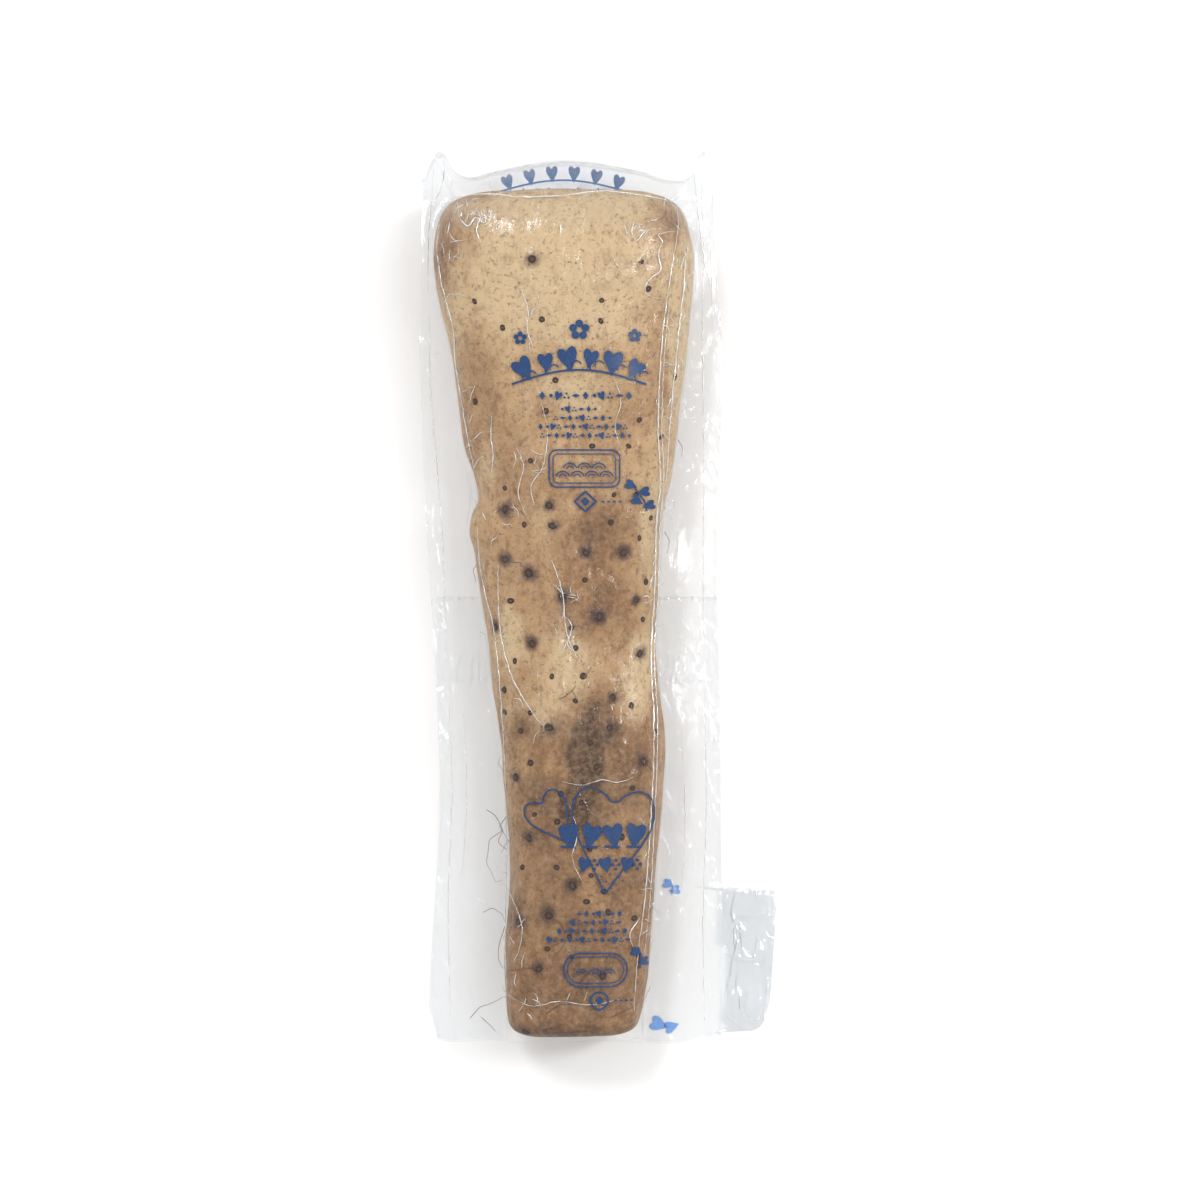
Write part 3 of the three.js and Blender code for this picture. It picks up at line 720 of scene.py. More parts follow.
def tuber_profile(rings):
    """Places and scales of `rings` + 1 sections, spaced evenly over the tuber's outline."""
    steps = [(NECK_END + NECK_CAP * (1 - math.cos(math.pi / 2 * k / 400)), 0) for k in range(400)]
    steps += [(mix(BODY_START, BODY_END, k / 600), 0) for k in range(600)]
    steps += [(BODY_END + BROAD_CAP * math.sin(math.pi / 2 * k / 400), 0) for k in range(401)]
    points = []
    for y, _ in steps:
        scale = rounded((BODY_START - y) / NECK_CAP) * rounded((y - BODY_END) / BROAD_CAP)
        points.append((y, 22 * scale, scale))
    lengths = [0.0]
    for p, q in zip(points, points[1:]):
        lengths.append(lengths[-1] + math.dist(p[:2], q[:2]))
    profile, at = [], 0
    for k in range(rings + 1):
        target = lengths[-1] * k / rings
        while at < len(lengths) - 2 and lengths[at + 1] < target:
            at += 1
        span = lengths[at + 1] - lengths[at]
        share = clamp((target - lengths[at]) / span) if span else 0
        profile.append((mix(points[at][0], points[at + 1][0], share), mix(points[at][2], points[at + 1][2], share)))
    return profile


def tuber_point(y, scale, angle):
    middle, half, widest, above, below = section_at(y, scale)
    rise = section_curve(math.sin(angle))
    return Vector((middle + half * section_curve(math.cos(angle)), y, widest + (above if rise > 0 else below) * rise))


def all_scars():
    """The upper side's large scars, then small ones scattered over the upper side and the belly."""
    rng = random.Random(7)
    scars = [(x, y, size, FRONT) for x, y, size in LARGE_SCARS]
    for side, (count, space, least, most) in SMALL_SCARS.items():
        spots = [scar[:2] for scar in scars if scar[3] == side]
        wanted = len(spots) + count
        while len(spots) < wanted:
            y = rng.triangular(SCARS_FROM, SCARS_TO, SCARS_CLOSEST_AT)
            middle, half, _, _, _ = section_at(y)
            x = middle + half * rng.uniform(-SCAR_REACH, SCAR_REACH)
            if all(math.dist((x, y), spot) > space for spot in spots):
                spots.append((x, y))
                scars.append((x, y, rng.uniform(least, most), side))
    return scars


def scar_seat(surface, x, y, side):
    start = Vector((x * MM, y * MM, 0.08 if side == FRONT else -0.04))
    spot, normal, _, _ = surface.ray_cast(start, Vector((0, 0, -side)))
    return spot, normal


def shaped_tuber(settings):
    """A sphere's rings and segments drawn out into the yam's sections."""
    deselect_all()
    bpy.ops.mesh.primitive_uv_sphere_add(segments=settings.around, ring_count=settings.rings, radius=1)
    tuber = added("yam_skin")
    profile = tuber_profile(settings.rings)
    angles = even_angles(settings.around, 2 * math.pi)
    for vertex in tuber.data.vertices:
        x, y, z = vertex.co
        ring = round(math.acos(clamp(z, -1, 1)) / math.pi * settings.rings)
        turn = math.atan2(-y, x) % (2 * math.pi)
        place, scale = profile[ring]
        if ring in (0, settings.rings):
            scale = 0
        angle = angles[round(turn / (2 * math.pi) * settings.around) % settings.around]
        vertex.co = tuber_point(place, scale, angle)
    mesh = tuber.data
    make_active(tuber)
    bpy.ops.object.mode_set(mode="EDIT")
    bpy.ops.mesh.select_all(action="SELECT")
    bpy.ops.mesh.normals_make_consistent(inside=False)
    bpy.ops.object.mode_set(mode="OBJECT")
    normals = [vertex.normal.copy() for vertex in mesh.vertices]
    for vertex, normal in zip(mesh.vertices, normals):
        p = vertex.co
        fine = noise.noise(Vector((p.x / 2.6, p.y / 3.6, p.z / 2.6)))
        height = settings.lumps / MM * (lump(p) - 0.2) + 0.07 * fine
        vertex.co = p + normal * height
    for vertex in mesh.vertices:
        vertex.co *= MM
    return tuber


class YAM_OT_tuber(bpy.types.Operator):
    """Build the tuber with its lumps, stains and the browned skin round each root scar"""

    bl_idname = "yam.tuber"
    bl_label = "Tuber"

    def execute(self, context):
        settings = context.scene.yam_tuber
        tuber = shaped_tuber(settings)
        mesh = tuber.data
        mesh.update()
        surface = surface_of(tuber)
        seats = []
        for x, y, size, side in all_scars():
            spot, _ = scar_seat(surface, x, y, side)
            if spot:
                seats.append((spot, size))
        pale, stain, halo = [], [], []
        for vertex in mesh.vertices:
            x, y, z = (c / MM for c in vertex.co)
            side = 1 if z > 12 else 0.5
            rough = noise.noise(Vector((x / 5, y / 8, z / 5)))
            warp_x, warp_y = x + 3 * rough, y + 5 * noise.noise(Vector((x / 9, y / 9, z / 9 + 4)))
            if z > 11:
                pale.append(patch(PALE_PATCHES, warp_x, warp_y) * side)
                darker = 0.42 * ease(clamp((-46 - y) / 26)) + 0.12 * ease(clamp((50 - y) / 50))
                stain.append(patch(STAIN_PATCHES, warp_x, warp_y) * side + darker)
            else:
                pale.append(clamp(0.35 + 0.7 * noise.noise(Vector((x / 20, y / 26, 3)))))
                stain.append(clamp(0.25 + 0.9 * noise.noise(Vector((x / 14, y / 18, 8)))))
            near = 0.0
            for spot, size in seats:
                if abs(spot.y - vertex.co.y) < 0.006:
                    distance = (spot - vertex.co).length / MM
                    if distance < 6:
                        reach = 1.15 * size + (1.0 if size > 1.25 else 0.05)
                        near = max(near, math.exp(-((distance / reach) ** 2)) * (clamp(size - 0.35, 0.6, 1.1) if size > 1.25 else 0.55))
            halo.append(near)
        set_attribute(tuber, "pale", pale)
        set_attribute(tuber, "stain", stain)
        set_attribute(tuber, "halo", halo)
        smooth(tuber)
        mesh.materials.clear()
        mesh.materials.append(skin_material(settings))
        settle(tuber, "yam_skin", "yam_tuber")
        return {"FINISHED"}


class YAM_OT_root_scars(bpy.types.Operator):
    """Set a small ringed scar, with a pit, at each place where a root grew"""

    bl_idname = "yam.root_scars"
    bl_label = "Root scars"

    def execute(self, context):
        rng = random.Random(11)
        surface = surface_of(bpy.data.objects["yam_skin"])
        deselect_all()
        bpy.ops.mesh.primitive_circle_add(vertices=14, radius=1, fill_type="TRIFAN")
        master = added("root_scar_master")
        bpy.ops.object.mode_set(mode="EDIT")
        bpy.ops.mesh.select_all(action="SELECT")
        bpy.ops.mesh.subdivide(number_cuts=2)
        bpy.ops.object.mode_set(mode="OBJECT")
        for vertex in master.data.vertices:
            r = vertex.co.xy.length
            ridge = math.exp(-(((r - 0.55) / 0.22) ** 2))
            vertex.co.z = 0.34 * ridge - 0.1 * math.exp(-((r / 0.25) ** 2)) - 0.35 * clamp((r - 0.8) / 0.2)
        set_attribute(master, "rim", [clamp(1 - abs(v.co.xy.length - 0.58) * 3.2) for v in master.data.vertices])
        copies = []
        for x, y, size, side in all_scars():
            spot, normal = scar_seat(surface, x, y, side)
            if spot is None:
                continue
            copy = master.copy()
            copy.data = master.data.copy()
            context.collection.objects.link(copy)
            turn = normal.to_track_quat("Z", "Y")
            spin, long = rng.uniform(0, 6.28), rng.uniform(0.85, 1.2)
            radius = 1.06 * size ** 0.6 * rng.uniform(0.9, 1.12)
            for vertex in copy.data.vertices:
                p = vertex.co
                ragged = 1 + 0.16 * noise.noise(Vector((p.x * 2 + x, p.y * 2 + y, 0)))
                flat = Vector((p.x * long, p.y / long, 0)) * ragged
                flat = Vector(
                    (
                        flat.x * math.cos(spin) - flat.y * math.sin(spin),
                        flat.x * math.sin(spin) + flat.y * math.cos(spin),
                        p.z * 0.8 + 0.03,
                    )
                )
                local = turn @ (flat * radius * MM)
                place = spot + local
                vertex.co = place
            copies.append(copy)
        bpy.data.objects.remove(master)
        scars = joined("root_scars", copies)
        nearest = [surface.find_nearest(v.co) for v in scars.data.vertices]
        smooth(scars)
        scars.data.materials.clear()
        scars.data.materials.append(scar_material(context.scene.yam_tuber))
        settle(scars, "yam_skin")
        return {"FINISHED"}


class YAM_OT_rootlets(bpy.types.Operator):
    """Lay the dried rootlets on the skin and in the film beside it"""

    bl_idname = "yam.rootlets"
    bl_label = "Rootlets"

    def execute(self, context):
        rng = random.Random(5)
        surface = surface_of(bpy.data.objects["yam_skin"])
        pieces = []
        routes = list(ROOTLETS)
        for x, y, size, side in all_scars():
            if side == BACK:
                continue
            hairs = 4 if size > 1.25 else int(rng.random() < 0.35)
            for _ in range(hairs):
                a = rng.uniform(0, 6.28)
                length = rng.uniform(1.5, 3.6) * (0.8 if hairs > 1 else 1.2)
                bend = rng.uniform(-0.9, 0.9)
                middle = (x + 0.5 * length * math.cos(a), y + 0.5 * length * math.sin(a))
                end = (middle[0] + 0.5 * length * math.cos(a + bend), middle[1] + 0.5 * length * math.sin(a + bend))
                routes.append((((x, y), middle, end), rng.uniform(0.14, 0.22)))
        for points, thick in routes:
            deselect_all()
            bpy.ops.curve.primitive_bezier_curve_add()
            piece = added("rootlet")
            curve = piece.data
            curve.splines.clear()
            spline = curve.splines.new("NURBS")
            dense = []
            for p, q in zip(points, points[1:]):
                steps = max(2, int(math.dist(p, q) / 0.9))
                dense += [(mix(p[0], q[0], k / steps), mix(p[1], q[1], k / steps)) for k in range(steps)]
            dense.append(points[-1])
            spline.points.add(len(dense) - 1)
            spline.use_endpoint_u, spline.order_u = True, 4
            for k, (x, y) in enumerate(dense):
                x += 0.35 * noise.noise(Vector((x / 1.4, y / 1.4, 2)))
                y += 0.35 * noise.noise(Vector((x / 1.4, y / 1.4, 7)))
                spot, normal = top_of(surface, x, y)
                if spot is None or (normal and normal.z < 0.25):
                    middle, half, widest, _, _ = section_at(clamp(y, BODY_START, BODY_END))
                    beside = Vector((x * MM, y * MM, 0))
                    edge = follow(POUCH_SIDES, 1 if x < middle else 2, y)
                    share = clamp((x - edge) / (middle - half - edge)) if x < middle else clamp((edge - x) / (edge - middle - half))
                    beside.z = flap_height(y, share, widest, half, middle, x < middle)[0] * MM - 0.0002
                    spot = beside if spot is None else Vector((x * MM, y * MM, max(beside.z, spot.z)))
                    lift = 0.0
                else:
                    lift = 0.12
                spline.points[k].co = (*(spot + Vector((0, 0, lift * MM))), 1)
                spline.points[k].radius = mix(1.0, 0.45, k / len(dense))
            curve.dimensions = "3D"
            curve.bevel_depth = 0.4 * thick * MM
            curve.bevel_resolution = 1
            curve.resolution_u = 3
            curve.use_fill_caps = True
            make_active(piece)
            bpy.ops.object.convert(target="MESH")
            pieces.append(bpy.context.object)
        rootlets = joined("rootlets", pieces)
        smooth(rootlets)
        rootlets.data.materials.clear()
        rootlets.data.materials.append(rootlet_material())
        settle(rootlets, "yam_skin")
        return {"FINISHED"}


# ---- The pouch -----------------------------------------------------------------------------------

FLAP_STEPS = 15
OVER_STEPS = 82


def flap_height(y, share, widest, half, middle, left):
    """Height of a flap `share` of the way in from its edge, and how far the back web lies below."""
    meet = middle - half - CLEARANCE if left else middle + half + CLEARANCE
    edge = follow(POUCH_SIDES, 1 if left else 2, y)
    width = abs(meet - edge)
    drawn = ease(clamp((NECK_END + FOLD_PULL - y) / FOLD_PULL))
    edge_z = mix(widest - FLAP_FALL * min(width, FLAP_FALLS_OVER), FRONT_TAIL_Z + 2 * FOLD_ROUND, drawn)
    steep = 1.5 * (widest - edge_z) / width
    drop = LAYER * math.sqrt(1 + steep * steep)
    return mix(edge_z, widest, ease(share)), drop, mix(edge, meet, share)


OVER_ANGLES = even_angles(OVER_STEPS, math.pi)[::-1]


def film_row(y, side):
    middle, half, widest, above, below = section_at(y)
    row = []
    drops = []
    for left in (True, False):
        points = []
        for j in range(FLAP_STEPS):
            z, drop, x = flap_height(y, j / FLAP_STEPS, widest, half, middle, left)
            if side == FRONT:
                drop = 0
            points.append([x, y, z - drop])
        drops.append(drop)
        row.append(points)
    over = []
    for k, angle in enumerate(OVER_ANGLES):
        drop = drops[0] if k < OVER_STEPS / 2 else drops[1]
        rise = abs(section_curve(math.sin(angle)))
        reach = (above if side == FRONT else below) + CLEARANCE - drop
        x = middle + (half + CLEARANCE) * section_curve(math.cos(angle))
        over.append([x, y, widest - drop + side * rise * reach])
    return row[0] + over + row[1][::-1]


def in_body(j):
    return FLAP_STEPS <= j <= FLAP_STEPS + OVER_STEPS


def fanned(row, left, right):
    last = len(row) - 1
    across = []
    for j, point in enumerate(row):
        if j < FLAP_STEPS:
            across.append(mix(left, row[FLAP_STEPS][0], j / FLAP_STEPS))
        elif last - j < FLAP_STEPS:
            across.append(mix(right, row[last - FLAP_STEPS][0], (last - j) / FLAP_STEPS))
        else:
            across.append(point[0])
    return across


def fold_rows(side):
    inset = 0 if side == FRONT else 1.5 * LAYER
    tail_z = FRONT_TAIL_Z if side == FRONT else BACK_TAIL_Z
    start = film_row(BODY_START, side)
    columns = []
    for x, point in zip(fanned(start, POUCH_SIDES[0][1], POUCH_SIDES[0][2]), start):
        lip = follow(POUCH_LOWER_EDGE, 1, x) + inset
        turn = min(FRONT_TAIL_Z + FOLD_ROUND, (point[2] + tail_z) / 2)
        up = point[2] - turn
        columns.append((x, lip, turn, up, turn - tail_z, clamp(up, 0.2, BODY_START - 0.4 - lip)))
    rows = []
    for share in (1, 0.75, 0.5, 0.25):
        sine, cosine = math.sin(share * math.pi / 2), math.cos(share * math.pi / 2)
        rows.append([[x, lip + down * (1 - cosine), turn - down * sine] for x, lip, turn, _, down, _ in columns])
    for share in (1, 0.995, 0.98, 0.95, 0.9, 0.83, 0.74, 0.63, 0.5, 0.36, 0.2, 0):
        rows.append([[x, lip + reach * (1 - share), turn + up * rounded(share)] for x, lip, turn, up, _, reach in columns])
    return rows


def tail_rows(side, fold):
    z = FRONT_TAIL_Z if side == FRONT else BACK_TAIL_Z
    places = []
    for (low, *_), (high, *_) in zip(TAIL_SIDES, TAIL_SIDES[1:]):
        steps = max(1, round((high - low) / 1.7))
        places += [mix(low, high, k / steps) for k in range(steps)]
    places.append(TAIL_CUT)
    rows = []
    for y in reversed(places):
        i = max(k for k, side_row in enumerate(TAIL_SIDES) if side_row[0] <= y + 1e-6)
        low, high = TAIL_SIDES[i], TAIL_SIDES[min(i + 1, len(TAIL_SIDES) - 1)]
        share = (y - low[0]) / (high[0] - low[0]) if high[0] > low[0] else 0
        left, right = mix(low[1], high[1], share), mix(low[2], high[2], share)
        rows.append([[x, y, z] for x in fanned(fold, left, right)])
    return rows


def top_rows(side):
    def clinging(y):
        along = (y - BODY_END) / BROAD_CAP
        return [[x, y + CLEARANCE * along, z] for x, _, z in film_row(y, side)]

    cling = [clinging(BODY_END + share * BROAD_CAP) for share in (0.15, 0.3, 0.43, 0.55, 0.65, 0.75)]
    leaves, spread = cling[-1], film_row(BODY_END, side)
    level = section_at(BROAD_END)[2]
    drop = 0 if side == FRONT else LAYER
    rows = []
    for share in (0.1, 0.2, 0.3, 0.4, 0.5, 0.6, 0.7, 0.78, 0.85, 0.91, 0.96, 1):
        row = []
        for j, (px, py, pz) in enumerate(leaves):
            x = spread[j][0]
            seam = (level - drop if in_body(j) else pz) - drop
            top = follow(POUCH_TOP_EDGE, 1, x)
            row.append([mix(px, x, share), mix(py, top, share), mix(seam, pz, 1 - share * share)])
        rows.append(row)
    return cling + rows


def web_piece(name, side):
    fold = fold_rows(side)
    tail = tail_rows(side, fold[0])
    steps = round((BODY_END - BODY_START) / 1.3)
    body = [film_row(mix(BODY_START, BODY_END, k / steps), side) for k in range(steps + 1)]
    top = top_rows(side)
    rows = tail + fold + body + top
    counts = (len(tail), len(fold), len(body), len(top))
    piece = grid_piece(name, rows)
    return piece, counts, len(rows[0])


def wrinkle_web(piece, side, counts, across):
    """Lumps that follow the yam, creases, waves along the flaps, and the marks of the seals."""
    mesh = piece.data
    mesh.update()
    normals = [v.normal.copy() for v in mesh.vertices]
    tail_count, fold_count, body_count, top_count = counts
    lumps = bpy.context.scene.yam_tuber.lumps / MM
    seal, crease = [], []
    crumple, loose = [], []
    for vertex, normal in zip(mesh.vertices, normals):
        i, j = divmod(vertex.index, across)
        x, y, z = (c / MM for c in vertex.co)
        last = across - 1
        share = min(j, last - j) / FLAP_STEPS
        band = clamp(1 - abs(min(j, last - j) - 2.2) / 2.6) if i >= tail_count else clamp(1 - min(j, last - j) / 4.0)
        mark, height = 0.0, 0.0
        if i < tail_count:
            end_seal = math.exp(-(((y + 21.5) / 3.2) ** 4))
            band = max(band, 0.9 * end_seal)
            mark = 0.5 * math.exp(-(((y + 25.3) / 0.5) ** 2)) + 0.5 * math.exp(-(((y + 17.8) / 0.4) ** 2))
            mark += 0.8 * math.exp(-((y / 0.7) ** 2))
            if x > 37:
                lift = clamp((x - 37) / 4)
                wave = 0.9 + 0.7 * noise.noise(Vector((x / 9, y / 13, 5)))
                height = lift * wave
                mark += lift * (0.3 + 0.3 * clamp(noise.noise(Vector((x / 3, y / 9, 9))) * 2))
                vertex.co.z += height * MM
            seal.append(band)
            crease.append(clamp(mark))
            crumple.append(0.0)
            loose.append(1.0 if x > 37 else 0.12)
            continue
        body, level_crumple = in_body(j), 0.0
        inward = clamp(min(j - FLAP_STEPS, last - FLAP_STEPS - j) / 8) if body else 0.0
        level = 1.0
        if i >= tail_count + fold_count + body_count:
            level = clamp(1 - (i - tail_count - fold_count - body_count) / 6)
        if i < tail_count + fold_count:
            level = clamp((i - tail_count - 6) / 8)
        follow_yam = lumps * (lump((x, y, z)) - 0.2)
        outward = 1 if side == FRONT else -1
        height += inward * level * max(follow_yam, -0.3) * outward
        if body and side == FRONT:
            crumpled = min(patch(CRUMPLES, x, y), 1.5)
            fine = noise.noise(Vector((x / 2.2, y / 7, z / 2.2)))
            sharp = max(0.0, 0.16 - abs(fine)) / 0.16
            web = sharp * clamp(0.4 + noise.noise(Vector((x / 11, y / 15, 1))))
            facets = noise.noise(Vector((x / 2.4, y / 3.4, z / 2.4)))
            height += (0.14 * web + crumpled * (0.1 + 0.42 * facets)) * max(inward, 0.3) * level + 0.06 * inward
            mark = clamp(0.2 * web + 0.25 * crumpled * sharp)
            level_crumple = crumpled
        elif not body:
            away = 1 - share
            wave = noise.noise(Vector((x / 7, y / 26, side * 0.0 + 3))) * 1.1
            wave += noise.noise(Vector((x / 3.2, y / 12, 8))) * 0.35
            height += wave * ease(clamp(2.2 * share * away + 0.25)) * clamp((y + 131) / 12) * clamp((132 - y) / 8)
            line = noise.noise(Vector((x / 1.7, y / 30, 12)))
            mark = 0.35 * clamp((0.12 - abs(line)) / 0.12) * clamp(noise.noise(Vector((x / 9, y / 18, 2))) * 2)
            mark = max(mark, 0.8 * math.exp(-((min(j, last - j)) / 0.6) ** 2))
        if i >= tail_count + fold_count + body_count + top_count - 3:
            mark = max(mark, 0.5)
            band = max(band, 0.6)
        vertex.co += normal * height * MM
        seal.append(band)
        crease.append(clamp(mark))
        crumple.append(level_crumple)
        clear = body and i < tail_count + fold_count + body_count
        loose.append(0.0 if clear else 0.15 + 0.4 * clamp((y - 100) / 20))
    set_attribute(piece, "loose", loose)
    set_attribute(piece, "crumple", crumple)
    set_attribute(piece, "seal", seal)
    set_attribute(piece, "crease", crease)


class YAM_OT_front_web(bpy.types.Operator):
    """Build the pouch's front web: drawn over the yam, folded under its narrow end, with its tail"""

    bl_idname = "yam.front_web"
    bl_label = "Front web"

    def execute(self, context):
        piece, counts, across = web_piece("front_film", FRONT)
        wrinkle_web(piece, FRONT, counts, across)
        finish_web(piece, context)
        settle(piece, "pouch_film", "pouch_front_web")
        return {"FINISHED"}


class YAM_OT_back_web(bpy.types.Operator):
    """Build the pouch's back web: under the yam, folded with the front web, with its own tail"""

    bl_idname = "yam.back_web"
    bl_label = "Back web"

    def execute(self, context):
        piece, counts, across = web_piece("back_film", BACK)
        wrinkle_web(piece, BACK, counts, across)
        finish_web(piece, context)
        settle(piece, "pouch_film", "pouch_back_web")
        return {"FINISHED"}


def finish_web(piece, context):
    settings = context.scene.yam_pouch
    apply_modifier(piece, "SOLIDIFY", thickness=settings.film, offset=0)
    smooth(piece, 60)
    piece.data.materials.clear()
    material = bpy.data.materials.get("clear film") or film_material(settings)
    piece.data.materials.append(material)


# ---- The print -----------------------------------------------------------------------------------


def arc(cx, cy, rx, ry, start, end, steps=16):
    return [
        (cx + rx * math.cos(math.radians(mix(start, end, k / steps))),
         cy + ry * math.sin(math.radians(mix(start, end, k / steps))))
        for k in range(steps + 1)
    ]


def leaf(cx, cy, size, lean):
    """Outline of a heart-shaped yam leaf, its tip pointing down before it leans."""
    half = [(0, 0.35), (0.16, 0.52), (0.36, 0.56), (0.5, 0.42), (0.52, 0.18), (0.42, -0.08), (0.24, -0.36), (0.08, -0.62)]
    outline = half + [(0, -0.78)] + [(-x, y) for x, y in reversed(half[1:])]
    c, s = math.cos(math.radians(lean)), math.sin(math.radians(lean))
    return [(cx + size * (x * c - y * s), cy + size * (x * s + y * c)) for x, y in outline]


def rounded_frame(cx, cy, width, height, radius):
    points = []
    for sx, sy, start in ((1, 1, 0), (-1, 1, 90), (-1, -1, 180), (1, -1, 270)):
        points += arc(cx + sx * (width / 2 - radius), cy + sy * (height / 2 - radius), radius, radius, start, start + 90, 5)
    return points + [points[0]]


def rounded_corner(outline, k):
    """Two points that cut off a corner of a closed outline."""
    before, at, after = outline[k - 1], outline[k], outline[(k + 1) % len(outline)]
    return [tuple(mix(a, b, 0.28) for a, b in zip(at, end)) for end in (before, after)]


def motif_row(lines, fills, y, start, end, size):
    """A row of small motifs in turn: a diamond, a bead, a leaf, three beads and a seed."""
    x, k = start, round(abs(y))
    while x < end:
        kind = k % 5
        if kind == 0:
            fills.append([(x, y + size), (x + size * 0.7, y), (x, y - size), (x - size * 0.7, y)])
        elif kind == 1:
            fills.append(arc(x, y, size * 0.45, size * 0.45, 0, 315, 7))
        elif kind == 2:
            fills.append(leaf(x, y, size * 1.7, 18 if k % 2 else -18))
        elif kind == 3:
            for dx, dy in ((-0.45, -0.45), (0.45, -0.45), (0, 0.45)):
                fills.append(arc(x + dx * size, y + dy * size, size * 0.3, size * 0.3, 0, 300, 5))
        else:
            fills.append([(x - size, y), (x, y + size * 0.45), (x + size, y), (x, y - size * 0.45)])
        x += size * (2.1, 1.7, 2.0, 2.2, 2.3)[kind]
        k += 1


def print_design():
    """Lines (points, width) and filled shapes (points) of the print on the front web."""
    lines, fills = [], []
    # An arched spray of leaves, with a stem under them and three rosettes above.
    stem = [(-26 + 40 * t, 63.0 + 4.2 * math.sin(math.pi * t)) for t in (k / 20 for k in range(21))]
    lines.append((stem, 0.6))
    for k in range(6):
        t = (k + 0.5) / 6
        x, y = -26 + 40 * t, 63.0 + 4.2 * math.sin(math.pi * t)
        fills.append(leaf(x, y + 3.7, (5.6, 4.4)[k % 2], mix(30, -30, t) + (8, -8)[k % 2]))
        lines.append(([(x, y), (x - 0.2, y + 2.2)], 0.5))
        lines.append((arc(x + 2.6, y + 1.5, 1.3, 1.3, 200, 20, 8), 0.4))
    for x, y, r in ((-23.5, 76.6, 2.2), (-6, 79, 3.3), (10.5, 77.4, 2.2)):
        for petal in range(5):
            a = math.radians(90 + 72 * petal)
            px, py = x + r * 0.58 * math.cos(a), y + r * 0.58 * math.sin(a)
            fills.append(arc(px, py, 0.36 * r, 0.36 * r, 0, 315, 7))
    # Rows of small beads, diamonds and leaves.
    for y, start, end, size in (
        (59.6, -17, 9, 1.25), (55.6, -11, 0, 0.95), (53.0, -13, 4, 0.95), (50.4, -17.5, 8, 0.95),
        (47.8, -17, 9.5, 0.95),
    ):
        motif_row(lines, fills, y, start, end, size)
    # A double rounded frame round a pair of waves, and small tokens below it.
    lines.append((rounded_frame(-4.5, 38, 21, 11, 2.4), 0.42))
    lines.append((rounded_frame(-4.5, 38, 18.6, 8.6, 1.6), 0.3))
    for row in range(2):
        for k in range(4 - row):
            cx = -10.9 + 4.3 * k + 2.15 * row
            lines.append((arc(cx, 35.2 + 2.4 * row, 2.0, 2.0, 15, 165, 10), 0.36))
            lines.append((arc(cx, 35.2 + 2.4 * row, 1.1, 1.1, 15, 165, 8), 0.3))
    diamond = [(-4.2, 31.2), (-1.0, 28.2), (-4.2, 25.2), (-7.4, 28.2), (-4.2, 31.2)]
    lines.append((diamond, 0.6))
    fills.append([(-4.2, 29.6), (-2.8, 28.2), (-4.2, 26.8), (-5.6, 28.2)])
    for k in range(4):
        lines.append(([(0.6 + 1.7 * k, 28.2), (1.5 + 1.7 * k, 28.2)], 0.5))
    sprig = [(9.5, 34.5), (11, 31.5), (13.4, 28.4), (14, 25.4)]
    lines.append((sprig, 0.45))
    for x, y, lean in ((9.2, 33.2, 70), (13.4, 31.2, -80), (11.0, 28.6, 60), (15.0, 27.2, -70)):
        fills.append(leaf(x, y, 2.8, lean))
    # Lower group: a large open leaf and a small one, with rows of filled leaves across them.
    for x, y, size, lean in ((3.5, -70.5, 24, -6), (-14.5, -65.5, 12.5, 34)):
        outline = leaf(x, y, size, lean)
        outline = [p for k in range(len(outline)) for p in rounded_corner(outline, k)]
        lines.append((outline + [outline[0]], 0.5))
    for k in range(4):
        x = -9 + 6.6 * k
        fills.append(leaf(x, -70.8, 5.6, (12, -14, 10, -8)[k]))
        lines.append(([(x - 2.6, -74.4), (x + 1.8, -74.6)], 0.7))
    for k in range(3):
        fills.append(leaf(-4.6 + 6.4 * k, -79.6, 3.6, (-16, 12, -6)[k]))
        for dx, dy in ((0, 1.1), (0.9, -0.2), (-0.9, -0.2), (0, -1.5)):
            fills.append(arc(-1.5 + 6.4 * k + dx, -79.6 + dy, 0.5, 0.5, 0, 315, 7))
    for x, y in (
        (0.5, -83.2), (3.2, -82.6), (5.8, -83.6), (2, -84.8), (4.6, -85.4), (7, -84.6), (3.2, -86.8),
        (5.6, -87.2), (1, -86.2),
    ):
        fills.append(arc(x, y, 0.3, 0.3, 0, 300, 5))
    for y, start, end in ((-94.4, -6, 6), (-97.0, -8, 7.5), (-99.6, -12, 9), (-102.2, -15, 10.5)):
        motif_row(lines, fills, y, start, end, 0.95)
    sprig = [(11.5, -104.5), (12.5, -107.5), (12, -111)]
    lines.append((sprig, 0.45))
    for x, y, lean in ((10.8, -106, 70), (13.2, -109, -80)):
        fills.append(leaf(x, y, 2.6, lean))
    lines.append((rounded_frame(-1.2, -111.2, 19, 10, 4.9), 0.42))
    lines.append((rounded_frame(-1.2, -111.2, 16.8, 7.8, 3.8), 0.3))
    for k in range(3):
        lines.append((arc(-5.2 + 4.0 * k, -112.8, 1.9, 1.9, 15, 165, 10), 0.36))
        lines.append((arc(-5.2 + 4.0 * k, -112.8, 1.0, 1.0, 15, 165, 8), 0.3))
    lines.append((arc(0, -120.4, 2.6, 2.6, 0, 360, 18), 0.55))
    fills.append(arc(0, -120.4, 1.1, 1.1, 0, 330, 11))
    for k in range(4):
        lines.append(([(4.4 + 1.6 * k, -120.4), (5.2 + 1.6 * k, -120.4)], 0.5))
    return lines, fills


